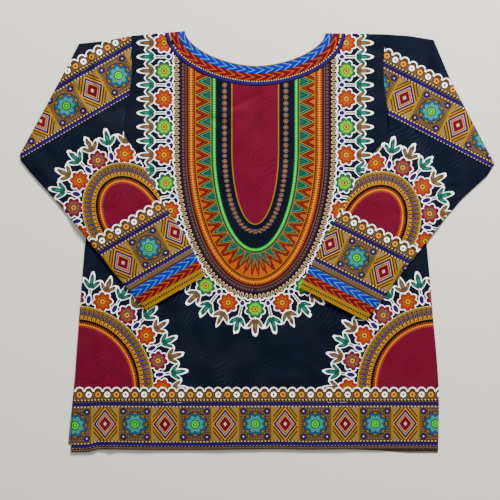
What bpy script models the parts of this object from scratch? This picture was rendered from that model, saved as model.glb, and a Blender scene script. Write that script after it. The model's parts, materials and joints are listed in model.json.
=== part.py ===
"""Dashiki shirt with long sleeves, laid out flat and face up, its sleeves brought in over the front.

Metres. +Z is up, +Y runs from the hem to the neck and +X is to the right of the front as it lies. The
shirt rests on z = 0 with the origin under its middle. It is cut in four pieces, one object each: the
back, the front and two sleeves. Each piece is a wall of one thickness. The front lies on the back, and
a sleeve is a tube pressed flat, open at the armhole and at the cuff. Both outlines follow the short
tables below, which have one row for each level of the body and one for each section of a sleeve.
"""

import math
from collections import namedtuple

import bmesh
import bpy
from mathutils import Vector

# Cloth
WALL = 0.0012  # wall of every piece
SEAM_GAP = 0.0003  # between pieces that are sewn or lie together
REST_GAP = 0.0007  # between a sleeve and the front that it lies on
FRONT_LOFT = 0.0013  # air under the middle of the front
SLEEVE_LOFT = 0.0019  # air inside the middle of a sleeve
MOST_AIR = 0.0036  # the most air between two layers, folds included
LOFT_EDGE = 0.050  # how far in from an edge the air is at its full height

# Top edge: two shoulder lines, and between them a neck cut down from the line between its two ends
SHOULDER_LEFT = Vector((-0.227, 0.3705))
NECK_LEFT = Vector((-0.130, 0.3795))
NECK_RIGHT = Vector((0.122, 0.3755))
SHOULDER_RIGHT = Vector((0.230, 0.3735))
NECK_DEPTH = 0.0608
NECK_ROUND = 1.75  # 2 is half an ellipse and 1 a V

# Hems, from the left vent to the right one. The back shows past the front near its two corners.
HemPoint = namedtuple("HemPoint", "x y")
FRONT_HEM = (
    HemPoint(-0.336, -0.3789),
    HemPoint(-0.305, -0.3782),
    HemPoint(-0.289, -0.3740),
    HemPoint(-0.274, -0.3733),
    HemPoint(-0.193, -0.3746),
    HemPoint(-0.103, -0.3747),
    HemPoint(-0.031, -0.3735),
    HemPoint(0.041, -0.3729),
    HemPoint(0.095, -0.3740),
    HemPoint(0.185, -0.3728),
    HemPoint(0.257, -0.3726),
    HemPoint(0.326, -0.3731),
)
BACK_HEM = (
    HemPoint(-0.342, -0.3645),
    HemPoint(-0.300, -0.3685),
    HemPoint(-0.250, -0.3717),
    HemPoint(-0.103, -0.3727),
    HemPoint(0.041, -0.3715),
    HemPoint(0.150, -0.3730),
    HemPoint(0.220, -0.3755),
    HemPoint(0.270, -0.3793),
    HemPoint(0.326, -0.3795),
)
HEM_Y = -0.3745  # about where both hems lie
VENT_TOP_Y = -0.2285  # the side seams are open below this level
BACK_PEEK = 0.006  # how far the back shows past the front at the left vent

UNDERARM_Y = 0.2035

# The body's left and right edges, level by level. Above UNDERARM_Y they are the armholes.
Level = namedtuple("Level", "y left right")
BODY = (
    Level(-0.3925, -0.336, 0.325),
    Level(-0.2615, -0.329, 0.326),
    Level(-0.1225, -0.319, 0.315),
    Level(0.0015, -0.309, 0.304),
    Level(0.0575, -0.301, 0.297),
    Level(0.1145, -0.289, 0.286),
    Level(0.1685, -0.269, 0.266),
    Level(UNDERARM_Y, -0.246, 0.241),
    Level(0.2465, -0.235, 0.233),
    Level(0.2825, -0.228, 0.228),
    Level(0.3235, -0.226, 0.227),
    Level(0.3735, -0.227, 0.230),
)

# A sleeve's sections, from the armhole to the cuff. Each goes from the outer edge, where the shoulder
# fold runs on, to the inner edge, which starts at the underarm. air is its share of SLEEVE_LOFT.
Section = namedtuple("Section", "outer_x outer_y inner_x inner_y air")
LEFT_SLEEVE = (
    Section(-0.2273, 0.3705, -0.2463, 0.2035, 0.00),
    Section(-0.2740, 0.3615, -0.2420, 0.1955, 0.30),
    Section(-0.3210, 0.3565, -0.2370, 0.1865, 0.70),
    Section(-0.3570, 0.2875, -0.2280, 0.1745, 1.00),
    Section(-0.3910, 0.2245, -0.2150, 0.1545, 0.90),
    Section(-0.4270, 0.1585, -0.1970, 0.1235, 0.80),
    Section(-0.4255, 0.1465, -0.1930, 0.1155, 0.80),
    Section(-0.4080, 0.1245, -0.1860, 0.1015, 0.90),
    Section(-0.3640, 0.0755, -0.1680, 0.0685, 1.00),
    Section(-0.3160, 0.0175, -0.1470, 0.0375, 1.00),
    Section(-0.2650, -0.0475, -0.1210, -0.0025, 0.90),
    Section(-0.2014, -0.1227, -0.0934, -0.0597, 0.80),
)
RIGHT_SLEEVE = (
    Section(0.2303, 0.3735, 0.2413, 0.2035, 0.00),
    Section(0.2730, 0.3705, 0.2370, 0.1955, 0.30),
    Section(0.3170, 0.3635, 0.2320, 0.1865, 0.70),
    Section(0.3470, 0.2925, 0.2240, 0.1765, 1.00),
    Section(0.3840, 0.2215, 0.2120, 0.1625, 0.90),
    Section(0.4270, 0.1405, 0.1920, 0.1325, 0.80),
    Section(0.4140, 0.1195, 0.1740, 0.1005, 0.90),
    Section(0.3680, 0.0775, 0.1550, 0.0665, 1.00),
    Section(0.3210, 0.0215, 0.1320, 0.0265, 1.00),
    Section(0.2620, -0.0545, 0.1070, -0.0215, 0.90),
    Section(0.1955, -0.1425, 0.0763, -0.0817, 0.80),
)

# The largest folds, each a soft ridge (height above 0) or trough (below 0) along a line
Fold = namedtuple("Fold", "x0 y0 x1 y1 width height")
FRONT_FOLDS = (
    Fold(-0.210, 0.3495, -0.136, 0.3475, 0.009, -0.0007),
    Fold(-0.215, 0.3635, -0.140, 0.3655, 0.010, 0.0011),
    Fold(-0.080, 0.2335, -0.020, 0.2355, 0.010, 0.0010),
    Fold(0.020, 0.2595, -0.030, 0.1875, 0.011, 0.0009),
    Fold(0.150, 0.3275, 0.205, 0.2975, 0.012, 0.0009),
    Fold(-0.320, -0.3475, -0.292, -0.3735, 0.011, 0.0013),
    Fold(-0.120, -0.3425, -0.010, -0.3545, 0.014, 0.0008),
    Fold(0.060, -0.1825, 0.110, -0.3025, 0.016, 0.0007),
    Fold(-0.080, -0.1925, -0.130, -0.2925, 0.016, 0.0007),
)
LEFT_SLEEVE_FOLDS = (
    Fold(-0.302, 0.3495, -0.296, 0.2725, 0.011, -0.0012),
    Fold(-0.326, 0.3335, -0.322, 0.2595, 0.013, 0.0011),
    Fold(-0.276, 0.3435, -0.262, 0.2595, 0.014, 0.0010),
    Fold(-0.345, 0.2375, -0.285, 0.2235, 0.014, 0.0009),
)
RIGHT_SLEEVE_FOLDS = (
    Fold(0.262, 0.3475, 0.250, 0.2695, 0.013, 0.0011),
    Fold(0.296, 0.3425, 0.318, 0.2595, 0.014, -0.0009),
    Fold(0.335, 0.3275, 0.352, 0.2595, 0.014, 0.0010),
    Fold(0.300, 0.2325, 0.352, 0.2125, 0.015, 0.0009),
)

# How finely the pieces are divided
SHOULDER_STEPS = 6  # columns of the front along each shoulder
NECK_STEPS = 18  # columns of the front along the neck
BODY_STEPS = 20  # rows of the front from the hem to the underarm
ARMHOLE_STEPS = 12  # rows of the front above that, and steps across a sleeve
HEM_STEPS = 24  # points along the back's hem
ARMHOLE_REACH = 5  # rings of a sleeve over which the armhole's curve straightens
SECTION_STEP = 0.027  # longest step between two rings of a sleeve, along its outer edge
FOLD_TURNS = (-45, 0, 45)  # degrees round the fold at each edge of a sleeve, between its two runs

# How a sleeve climbs over the body's side edge
STEP_FLAT = 0.019  # it is still at full height this far outside the edge
STEP_END = 0.040  # and on the floor from here on

Finish = namedtuple("Finish", "name red green blue roughness")
PRINTED_COTTON = Finish("printed_cotton", 0.012, 0.020, 0.034, 0.78)


def smooth(value, start=0.0, end=1.0):
    """0 at start, 1 at end, level at both."""
    share = min(1.0, max(0.0, (value - start) / (end - start)))
    return share * share * (3 - 2 * share)


def mix(start, end, share):
    return start + (end - start) * share


def body_edge(y, side):
    """The x of the body's edge at the level y, on a smooth curve through the table of levels.

    side is -1 for the left edge and 1 for the right one."""
    column = "left" if side < 0 else "right"
    levels = [Vector((level.y, getattr(level, column))) for level in BODY]
    place = max(i for i in range(len(levels) - 1) if i == 0 or levels[i].x <= y)
    slopes = []
    for i in (place, place + 1):
        before, after = levels[max(0, i - 1)], levels[min(len(levels) - 1, i + 1)]
        slopes.append((after.y - before.y) / (after.x - before.x))
    start, end = levels[place], levels[place + 1]
    step = end.x - start.x
    t = (y - start.x) / step
    held = start.y * (1 + 2 * t) * (1 - t) ** 2 + end.y * t**2 * (3 - 2 * t)
    return held + step * (slopes[0] * t * (1 - t) ** 2 - slopes[1] * t**2 * (1 - t))


def along_hem(hem, x):
    """The y of a hem at x."""
    place = max(i for i in range(len(hem) - 1) if i == 0 or hem[i].x <= x)
    start, end = hem[place], hem[place + 1]
    return mix(start.y, end.y, (x - start.x) / (end.x - start.x))


def top_y(x):
    """The y of the top edge at x: a shoulder line, or the neckline between the neck's two ends."""
    if x < NECK_LEFT.x:
        start, end = SHOULDER_LEFT, NECK_LEFT
    elif x > NECK_RIGHT.x:
        start, end = NECK_RIGHT, SHOULDER_RIGHT
    else:
        start, end = NECK_LEFT, NECK_RIGHT
    share = (x - start.x) / (end.x - start.x)
    dip = 0.0
    if start is NECK_LEFT:
        dip = NECK_DEPTH * max(0.0, 1 - abs(2 * share - 1) ** NECK_ROUND) ** (1 / NECK_ROUND)
    return mix(start.y, end.y, share) - dip


def fold_height(folds, x, y):
    """The summed height of these folds at a point. Each fades out at its two ends."""
    total = 0.0
    for fold in folds:
        along_x, along_y = fold.x1 - fold.x0, fold.y1 - fold.y0
        length = math.hypot(along_x, along_y)
        share = ((x - fold.x0) * along_x + (y - fold.y0) * along_y) / length**2
        nearest = min(1.0, max(0.0, share))
        off = math.hypot(x - fold.x0 - along_x * nearest, y - fold.y0 - along_y * nearest)
        total += fold.height * math.exp(-((off / fold.width) ** 2))
    return total


def front_air(x, y):
    """The air between the back and the front at a point, which is the seam gap along the seams."""
    left, right = body_edge(y, -1), body_edge(y, 1)
    middle, half = (left + right) / 2, (right - left) / 2
    across = 1 - min(1.0, abs(x - middle) / half)
    from_top = max(0.0, top_y(x) - y)
    inside = smooth(across, 0.0, 0.35) * smooth(from_top, 0.0, LOFT_EDGE)
    inside *= smooth(y, HEM_Y - LOFT_EDGE, HEM_Y + LOFT_EDGE)
    folds = fold_height(FRONT_FOLDS, x, y) * smooth(across, 0.0, 0.06) * smooth(from_top, 0.0, 0.012)
    return min(MOST_AIR, max(SEAM_GAP, SEAM_GAP + FRONT_LOFT * inside + folds))


def front_top(x, y):
    return WALL + front_air(x, y) + WALL


def object_from(builder, name):
    """An object of that name with the mesh in builder, in the shirt's cloth."""
    mesh = bpy.data.meshes.new(name)
    bmesh.ops.recalc_face_normals(builder, faces=builder.faces)
    builder.to_mesh(mesh)
    builder.free()
    mesh.shade_smooth()
    mesh.set_sharp_from_angle(angle=math.radians(35))
    mesh.materials.append(cloth())
    made = bpy.data.objects.new(name, mesh)
    bpy.context.scene.collection.objects.link(made)
    return made


def cloth():
    """The shirt's dark printed cotton, made once."""
    material = bpy.data.materials.get(PRINTED_COTTON.name)
    if material is None:
        material = bpy.data.materials.new(PRINTED_COTTON.name)
        material.use_nodes = True
        shader = material.node_tree.nodes["Principled BSDF"]
        base = (PRINTED_COTTON.red, PRINTED_COTTON.green, PRINTED_COTTON.blue, 1.0)
        shader.inputs["Base Color"].default_value = base
        shader.inputs["Roughness"].default_value = PRINTED_COTTON.roughness
        shader.inputs["Metallic"].default_value = 0.0
    return material


def top_columns():
    """The x of each column of the front at its top edge: closest together at the two ends of the neck."""
    columns = [mix(SHOULDER_LEFT.x, NECK_LEFT.x, i / SHOULDER_STEPS) for i in range(SHOULDER_STEPS)]
    for i in range(NECK_STEPS + 1):
        share = (1 - math.cos(math.pi * i / NECK_STEPS)) / 2
        columns.append(mix(NECK_LEFT.x, NECK_RIGHT.x, share))
    steps = range(1, SHOULDER_STEPS + 1)
    return columns + [mix(NECK_RIGHT.x, SHOULDER_RIGHT.x, i / SHOULDER_STEPS) for i in steps]


def across_body(top_x, y):
    """The x at the level y of the column that meets the top edge at top_x."""
    share = (top_x - SHOULDER_LEFT.x) / (SHOULDER_RIGHT.x - SHOULDER_LEFT.x)
    return mix(body_edge(y, -1), body_edge(y, 1), share)


def column_levels(top_x):
    """The y of each point of a column of the body. Every column has one at the underarm."""
    hem = along_hem(FRONT_HEM, across_body(top_x, HEM_Y))
    levels = [mix(hem, UNDERARM_Y, i / BODY_STEPS) for i in range(BODY_STEPS)]
    steps = range(ARMHOLE_STEPS + 1)
    return levels + [mix(UNDERARM_Y, top_y(top_x), i / ARMHOLE_STEPS) for i in steps]


def thickened(sheet, name):
    """The sheet in this bmesh, which is a wall's underside, with the wall built up from it."""
    made = object_from(sheet, name)
    wall = made.modifiers.new("wall", "SOLIDIFY")
    wall.thickness = WALL
    wall.offset = 1.0
    return made


def make_front():
    """One sheet of columns that run from the hem to the shoulders and the neckline."""
    sheet = bmesh.new()
    grid = []
    for top_x in top_columns():
        column = []
        for y in column_levels(top_x):
            x = across_body(top_x, y)
            column.append(sheet.verts.new((x, y, WALL + front_air(x, y))))
        grid.append(column)
    for near, far in zip(grid, grid[1:]):
        for row in range(len(near) - 1):
            sheet.faces.new((near[row], far[row], far[row + 1], near[row + 1]))
    thickened(sheet, "front")


def back_outline():
    """The back's outline, anticlockwise from above. It shows past the front at the open vents."""
    points = []
    left = body_edge(HEM_Y, -1) - BACK_PEEK
    for i in range(HEM_STEPS + 1):
        x = mix(left, body_edge(HEM_Y, 1), i / HEM_STEPS)
        points.append(Vector((x, along_hem(BACK_HEM, x))))
    points += [Vector((body_edge(y, 1), y)) for y in column_levels(SHOULDER_RIGHT.x)[1:-1]]
    for top_x in reversed(top_columns()):
        y = top_y(top_x)
        points.append(Vector((across_body(top_x, y), y)))
    for y in reversed(column_levels(SHOULDER_LEFT.x)[1:-1]):
        peek = BACK_PEEK * (1 - smooth(y, HEM_Y, VENT_TOP_Y))
        points.append(Vector((body_edge(y, -1) - peek, y)))
    return points


def make_back():
    """A flat sheet on the floor."""
    sheet = bmesh.new()
    sheet.faces.new([sheet.verts.new((point.x, point.y, 0.0)) for point in back_outline()])
    thickened(sheet, "back")


def sections_between(table):
    """The table's sections with more between them, so that no step on the outer edge is long."""
    fine = [table[0]]
    for start, end in zip(table, table[1:]):
        length = math.hypot(end.outer_x - start.outer_x, end.outer_y - start.outer_y)
        steps = math.ceil(length / SECTION_STEP)
        for i in range(1, steps + 1):
            fine.append(Section(*(mix(a, b, i / steps) for a, b in zip(start, end))))
    return fine


def step_over_body(x, y, side):
    """1 over the body and just outside its side edge, 0 where a sleeve lies on the floor."""
    if y >= UNDERARM_Y:
        outside = math.hypot(x - body_edge(UNDERARM_Y, side), y - UNDERARM_Y)
    else:
        outside = (x - body_edge(y, side)) * side
    return 1 - smooth(outside, STEP_FLAT, STEP_END)


def sleeve_under(x, y, side):
    """The height of a sleeve's underside: on the front where it lies over the body, else on the floor."""
    left, right = body_edge(y, -1), body_edge(y, 1)
    over_x = min(right, max(left, x))
    return (front_top(over_x, y) + REST_GAP) * step_over_body(x, y, side)


def sleeve_ring(section, armhole_share, side, folds, inset):
    """One ring round a sleeve. inset is 0 for the cloth's outer side and WALL for its inner side.

    armhole_share is 1 for the ring that follows the armhole, and falls to 0 over the next ones."""
    outer = Vector((section.outer_x, section.outer_y))
    inner = Vector((section.inner_x, section.inner_y))
    width = (inner - outer).length
    across = (inner - outer) / width
    end_radius = WALL + SEAM_GAP / 2

    def plan_point(share):
        point = outer.lerp(inner, share)
        straight = mix(body_edge(outer.y, side), body_edge(inner.y, side), share)
        return point + Vector(((body_edge(point.y, side) - straight) * armhole_share, 0.0))

    def lower_point(share):
        point = plan_point(share)
        return Vector((point.x, point.y, sleeve_under(point.x, point.y, side) + inset))

    def upper_point(share):
        point = plan_point(share)
        loft = SLEEVE_LOFT * math.sin(math.pi * share) ** 0.6
        creases = fold_height(folds, point.x, point.y) * math.sin(math.pi * share)
        air = min(MOST_AIR, max(SEAM_GAP, SEAM_GAP + section.air * (loft + creases)))
        return Vector((point.x, point.y, sleeve_under(point.x, point.y, side) + 2 * WALL + air - inset))

    def fold_point(edge, inward, turn):
        centre = edge + inward * end_radius
        reach = end_radius - inset
        plan = centre - inward * reach * math.cos(math.radians(turn))
        height = sleeve_under(centre.x, centre.y, side) + end_radius
        return Vector((plan.x, plan.y, height + reach * math.sin(math.radians(turn))))

    rim = end_radius / width
    shares = [rim] + [i / ARMHOLE_STEPS for i in range(1, ARMHOLE_STEPS)] + [1 - rim]
    ring = [lower_point(share) for share in shares]
    ring += [fold_point(inner, -across, turn) for turn in FOLD_TURNS]
    ring += [upper_point(share) for share in reversed(shares)]
    ring += [fold_point(outer, across, turn) for turn in reversed(FOLD_TURNS)]
    return ring


def join_rings(solid, near, far):
    count = len(near)
    for i in range(count):
        solid.faces.new((near[i], near[(i + 1) % count], far[(i + 1) % count], far[i]))


def make_sleeve(name, table, side, folds):
    """A flattened tube: an outer and an inner skin of rings, joined at the armhole and at the cuff."""
    solid = bmesh.new()
    skins = []
    for inset in (0.0, WALL):
        rings = []
        for index, section in enumerate(sections_between(table)):
            armhole_share = max(0.0, 1 - index / ARMHOLE_REACH)
            ring = sleeve_ring(section, armhole_share, side, folds, inset)
            rings.append([solid.verts.new(point) for point in ring])
        for near, far in zip(rings, rings[1:]):
            join_rings(solid, near, far)
        skins.append(rings)
    outside, inside = skins
    join_rings(solid, outside[0], inside[0])
    join_rings(solid, outside[-1], inside[-1])
    object_from(solid, name)


def clear_scene():
    for old in list(bpy.data.objects):
        bpy.data.objects.remove(old)


def make_shirt():
    clear_scene()
    make_back()
    make_front()
    make_sleeve("sleeve_left", LEFT_SLEEVE, -1, LEFT_SLEEVE_FOLDS)
    make_sleeve("sleeve_right", RIGHT_SLEEVE, 1, RIGHT_SLEEVE_FOLDS)


make_shirt()
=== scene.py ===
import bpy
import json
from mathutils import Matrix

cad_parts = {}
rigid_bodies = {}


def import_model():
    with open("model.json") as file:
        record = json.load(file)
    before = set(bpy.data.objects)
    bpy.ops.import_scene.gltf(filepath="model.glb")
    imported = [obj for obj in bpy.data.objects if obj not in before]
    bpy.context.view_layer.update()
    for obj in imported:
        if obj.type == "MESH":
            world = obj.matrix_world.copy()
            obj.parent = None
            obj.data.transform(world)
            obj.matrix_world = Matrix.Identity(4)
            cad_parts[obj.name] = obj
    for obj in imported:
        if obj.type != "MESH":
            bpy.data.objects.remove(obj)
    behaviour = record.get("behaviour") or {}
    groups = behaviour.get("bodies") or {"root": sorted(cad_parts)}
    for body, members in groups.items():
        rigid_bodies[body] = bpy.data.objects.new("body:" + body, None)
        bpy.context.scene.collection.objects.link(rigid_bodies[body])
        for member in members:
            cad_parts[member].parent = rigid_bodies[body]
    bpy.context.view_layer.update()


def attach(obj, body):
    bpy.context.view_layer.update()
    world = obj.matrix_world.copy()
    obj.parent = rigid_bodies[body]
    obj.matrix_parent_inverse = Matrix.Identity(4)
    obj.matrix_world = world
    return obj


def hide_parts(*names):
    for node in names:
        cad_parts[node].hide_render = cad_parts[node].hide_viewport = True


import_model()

import json
import math
from collections import namedtuple

import bpy
import numpy as np
from mathutils import Vector, noise

# ------------------------------------------------------------------ the shirt's cut, as its solids have it

WALL = 0.0012  # wall of every solid
SEAM_GAP = 0.0003  # between solids that are sewn or lie together
REST_GAP = 0.0007  # between a sleeve and the front that it lies on
FRONT_LOFT = 0.0013  # air under the middle of the front
SLEEVE_LOFT = 0.0019  # air inside the middle of a sleeve
MOST_AIR = 0.0036  # the most air between two layers, folds included
LOFT_EDGE = 0.050  # how far in from an edge the air is at its full height
LOFT_ACROSS = 0.35  # and from a side edge, as a share of the way to the middle
FOLD_ACROSS = 0.06  # share of the way to the middle over which folds start
FOLD_DOWN = 0.012  # and how far down from the top edge they do

SHOULDER_LEFT = Vector((-0.227, 0.3705))
NECK_LEFT = Vector((-0.130, 0.3795))
NECK_RIGHT = Vector((0.122, 0.3755))
SHOULDER_RIGHT = Vector((0.230, 0.3735))
NECK_DEPTH = 0.0608
NECK_ROUND = 1.75  # 2 is half an ellipse and 1 a V

HemPoint = namedtuple("HemPoint", "x y")
FRONT_HEM = (
    HemPoint(-0.336, -0.3789),
    HemPoint(-0.305, -0.3782),
    HemPoint(-0.289, -0.3740),
    HemPoint(-0.274, -0.3733),
    HemPoint(-0.193, -0.3746),
    HemPoint(-0.103, -0.3747),
    HemPoint(-0.031, -0.3735),
    HemPoint(0.041, -0.3729),
    HemPoint(0.095, -0.3740),
    HemPoint(0.185, -0.3728),
    HemPoint(0.257, -0.3726),
    HemPoint(0.326, -0.3731),
)
BACK_HEM = (
    HemPoint(-0.342, -0.3645),
    HemPoint(-0.300, -0.3685),
    HemPoint(-0.250, -0.3717),
    HemPoint(-0.103, -0.3727),
    HemPoint(0.041, -0.3715),
    HemPoint(0.150, -0.3730),
    HemPoint(0.220, -0.3755),
    HemPoint(0.270, -0.3793),
    HemPoint(0.326, -0.3795),
)
HEM_Y = -0.3745  # about where both hems lie
BORDER_Y = -0.2523  # below it the cloth has the hem border printed on it
VENT_TOP_Y = -0.2285  # the side seams are open below this level
BACK_PEEK = 0.006  # how far the back shows past the front at the left vent
UNDERARM_Y = 0.2035

# The body's left and right edges, level by level. Above UNDERARM_Y they are the armholes.
Level = namedtuple("Level", "y left right")
BODY = (
    Level(-0.3925, -0.336, 0.325),
    Level(-0.2615, -0.329, 0.326),
    Level(-0.1225, -0.319, 0.315),
    Level(0.0015, -0.309, 0.304),
    Level(0.0575, -0.301, 0.297),
    Level(0.1145, -0.289, 0.286),
    Level(0.1685, -0.269, 0.266),
    Level(UNDERARM_Y, -0.246, 0.241),
    Level(0.2465, -0.235, 0.233),
    Level(0.2825, -0.228, 0.228),
    Level(0.3235, -0.226, 0.227),
    Level(0.3735, -0.227, 0.230),
)

# A sleeve's sections, from the armhole to the cuff and from its outer edge to its inner one
Section = namedtuple("Section", "outer_x outer_y inner_x inner_y air")
LEFT_SLEEVE = (
    Section(-0.2273, 0.3705, -0.2463, 0.2035, 0.00),
    Section(-0.2740, 0.3615, -0.2420, 0.1955, 0.30),
    Section(-0.3210, 0.3565, -0.2370, 0.1865, 0.70),
    Section(-0.3570, 0.2875, -0.2280, 0.1745, 1.00),
    Section(-0.3910, 0.2245, -0.2150, 0.1545, 0.90),
    Section(-0.4270, 0.1585, -0.1970, 0.1235, 0.80),
    Section(-0.4255, 0.1465, -0.1930, 0.1155, 0.80),
    Section(-0.4080, 0.1245, -0.1860, 0.1015, 0.90),
    Section(-0.3640, 0.0755, -0.1680, 0.0685, 1.00),
    Section(-0.3160, 0.0175, -0.1470, 0.0375, 1.00),
    Section(-0.2650, -0.0475, -0.1210, -0.0025, 0.90),
    Section(-0.2014, -0.1227, -0.0934, -0.0597, 0.80),
)
RIGHT_SLEEVE = (
    Section(0.2303, 0.3735, 0.2413, 0.2035, 0.00),
    Section(0.2730, 0.3705, 0.2370, 0.1955, 0.30),
    Section(0.3170, 0.3635, 0.2320, 0.1865, 0.70),
    Section(0.3470, 0.2925, 0.2240, 0.1765, 1.00),
    Section(0.3840, 0.2215, 0.2120, 0.1625, 0.90),
    Section(0.4270, 0.1405, 0.1920, 0.1325, 0.80),
    Section(0.4140, 0.1195, 0.1740, 0.1005, 0.90),
    Section(0.3680, 0.0775, 0.1550, 0.0665, 1.00),
    Section(0.3210, 0.0215, 0.1320, 0.0265, 1.00),
    Section(0.2620, -0.0545, 0.1070, -0.0215, 0.90),
    Section(0.1955, -0.1425, 0.0763, -0.0817, 0.80),
)

# The largest folds, each a soft ridge (height above 0) or trough (below 0) along a line
Fold = namedtuple("Fold", "x0 y0 x1 y1 width height")
FRONT_FOLDS = (
    Fold(-0.210, 0.3495, -0.136, 0.3475, 0.009, -0.0007),
    Fold(-0.215, 0.3635, -0.140, 0.3655, 0.010, 0.0011),
    Fold(-0.080, 0.2335, -0.020, 0.2355, 0.010, 0.0010),
    Fold(0.020, 0.2595, -0.030, 0.1875, 0.011, 0.0009),
    Fold(0.150, 0.3275, 0.205, 0.2975, 0.012, 0.0009),
    Fold(-0.320, -0.3475, -0.292, -0.3735, 0.011, 0.0013),
    Fold(-0.120, -0.3425, -0.010, -0.3545, 0.014, 0.0008),
    Fold(0.060, -0.1825, 0.110, -0.3025, 0.016, 0.0007),
    Fold(-0.080, -0.1925, -0.130, -0.2925, 0.016, 0.0007),
)
LEFT_SLEEVE_FOLDS = (
    Fold(-0.302, 0.3495, -0.296, 0.2725, 0.011, -0.0012),
    Fold(-0.326, 0.3335, -0.322, 0.2595, 0.013, 0.0011),
    Fold(-0.276, 0.3435, -0.262, 0.2595, 0.014, 0.0010),
    Fold(-0.345, 0.2375, -0.285, 0.2235, 0.014, 0.0009),
)
RIGHT_SLEEVE_FOLDS = (
    Fold(0.262, 0.3475, 0.250, 0.2695, 0.013, 0.0011),
    Fold(0.296, 0.3425, 0.318, 0.2595, 0.014, -0.0009),
    Fold(0.335, 0.3275, 0.352, 0.2595, 0.014, 0.0010),
    Fold(0.300, 0.2325, 0.352, 0.2125, 0.015, 0.0009),
)

ARMHOLE_REACH = 0.125  # length of a sleeve over which the armhole's curve straightens
STEP_FLAT = 0.019  # a sleeve is still at full height this far outside the body's side edge
STEP_END = 0.040  # and on the floor from here on

# ------------------------------------------------------------------ the cloth that shows

CLOTH = 0.0006  # thickness of the cloth, with its give
TURNED = 0.0011  # thickness where an edge is turned in and sewn down
TURN_IN = 0.014  # width of a turned hem
VENT_LESS = 0.004  # how much narrower the turned edge of a vent is
TURN_SOFT = 0.0015  # half the width over which a turned edge thins to the plain cloth
EDGE_DROP = 0.0009  # how far the front comes down to meet the back at a side seam
EDGE_SOFT = 0.010  # how far in from the seam it starts to come down
VENT_FREE = 0.030  # it is free of the back this far below the top of a vent
BACK_FREE = 0.030  # how far in from its edges the back is free to lift
PRESSED = 0.0003  # the most that the front stands above its solid under a sleeve
LOFT_ROUND = 0.6  # how full a sleeve is towards its folds: 1 is a plain arch
CREASE_RISE = 3.0  # how steeply creases start at a sleeve's folds
SHARP_ANGLE = 50  # degrees between faces from which an edge is shaded sharp
FINE_RING = 0.0060  # from one ring of a sleeve to the next, along its outer edge
ACROSS_SLEEVE = 34  # patches across one run of a sleeve
ROUND_FOLD = (-72, -36, 0, 36, 72)  # degrees round the fold at each edge of a sleeve


def smooth(value, start=0.0, end=1.0):
    """0 at start, 1 at end, level at both."""
    share = min(1.0, max(0.0, (value - start) / (end - start)))
    return share * share * (3 - 2 * share)


def mix(start, end, share):
    return start + (end - start) * share


def body_edge(y, side):
    """The x of the body's edge at the level y. side is -1 for the left edge and 1 for the right one."""
    column = "left" if side < 0 else "right"
    levels = [(level.y, getattr(level, column)) for level in BODY]
    place = max(i for i in range(len(levels) - 1) if i == 0 or levels[i][0] <= y)
    slopes = []
    for i in (place, place + 1):
        before, after = levels[max(0, i - 1)], levels[min(len(levels) - 1, i + 1)]
        slopes.append((after[1] - before[1]) / (after[0] - before[0]))
    start, end = levels[place], levels[place + 1]
    step = end[0] - start[0]
    t = (y - start[0]) / step
    held = start[1] * (1 + 2 * t) * (1 - t) ** 2 + end[1] * t**2 * (3 - 2 * t)
    return held + step * (slopes[0] * t * (1 - t) ** 2 - slopes[1] * t**2 * (1 - t))


def along_hem(hem, x):
    """The y of a hem at x."""
    place = max(i for i in range(len(hem) - 1) if i == 0 or hem[i].x <= x)
    start, end = hem[place], hem[place + 1]
    return mix(start.y, end.y, (x - start.x) / (end.x - start.x))


def top_y(x):
    """The y of the top edge at x: a shoulder line, or the neckline between the neck's two ends."""
    if x < NECK_LEFT.x:
        start, end = SHOULDER_LEFT, NECK_LEFT
    elif x > NECK_RIGHT.x:
        start, end = NECK_RIGHT, SHOULDER_RIGHT
    else:
        start, end = NECK_LEFT, NECK_RIGHT
    share = (x - start.x) / (end.x - start.x)
    dip = 0.0
    if start is NECK_LEFT:
        dip = NECK_DEPTH * max(0.0, 1 - abs(2 * share - 1) ** NECK_ROUND) ** (1 / NECK_ROUND)
    return mix(start.y, end.y, share) - dip


def fold_height(folds, x, y):
    """The summed height of these folds at a point. Each fades out at its two ends."""
    total = 0.0
    for fold in folds:
        along_x, along_y = fold.x1 - fold.x0, fold.y1 - fold.y0
        length = math.hypot(along_x, along_y)
        share = ((x - fold.x0) * along_x + (y - fold.y0) * along_y) / length**2
        nearest = min(1.0, max(0.0, share))
        off = math.hypot(x - fold.x0 - along_x * nearest, y - fold.y0 - along_y * nearest)
        if off < 3 * fold.width:
            total += fold.height * math.exp(-((off / fold.width) ** 2))
    return total


def front_air(x, y):
    """The air between the back and the front at a point, which is the seam gap along the seams."""
    left, right = body_edge(y, -1), body_edge(y, 1)
    middle, half = (left + right) / 2, (right - left) / 2
    across = 1 - min(1.0, abs(x - middle) / half)
    from_top = max(0.0, top_y(x) - y)
    inside = smooth(across, 0.0, LOFT_ACROSS) * smooth(from_top, 0.0, LOFT_EDGE)
    inside *= smooth(y, HEM_Y - LOFT_EDGE, HEM_Y + LOFT_EDGE)
    start = smooth(across, 0.0, FOLD_ACROSS) * smooth(from_top, 0.0, FOLD_DOWN)
    folds = fold_height(FRONT_FOLDS, x, y) * start
    return min(MOST_AIR, max(SEAM_GAP, SEAM_GAP + FRONT_LOFT * inside + folds))


def front_top(x, y):
    return WALL + front_air(x, y) + WALL


def step_over_body(x, y, side):
    """1 over the body and just outside its side edge, 0 where a sleeve lies on the floor."""
    if y >= UNDERARM_Y:
        outside = math.hypot(x - body_edge(UNDERARM_Y, side), y - UNDERARM_Y)
    else:
        outside = (x - body_edge(y, side)) * side
    return 1 - smooth(outside, STEP_FLAT, STEP_END)


def sleeve_under(x, y, side):
    """The height of a sleeve's underside: on the front where it lies over the body, else on the floor."""
    left, right = body_edge(y, -1), body_edge(y, 1)
    over_x = min(right, max(left, x))
    return (front_top(over_x, y) + REST_GAP) * step_over_body(x, y, side)


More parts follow.
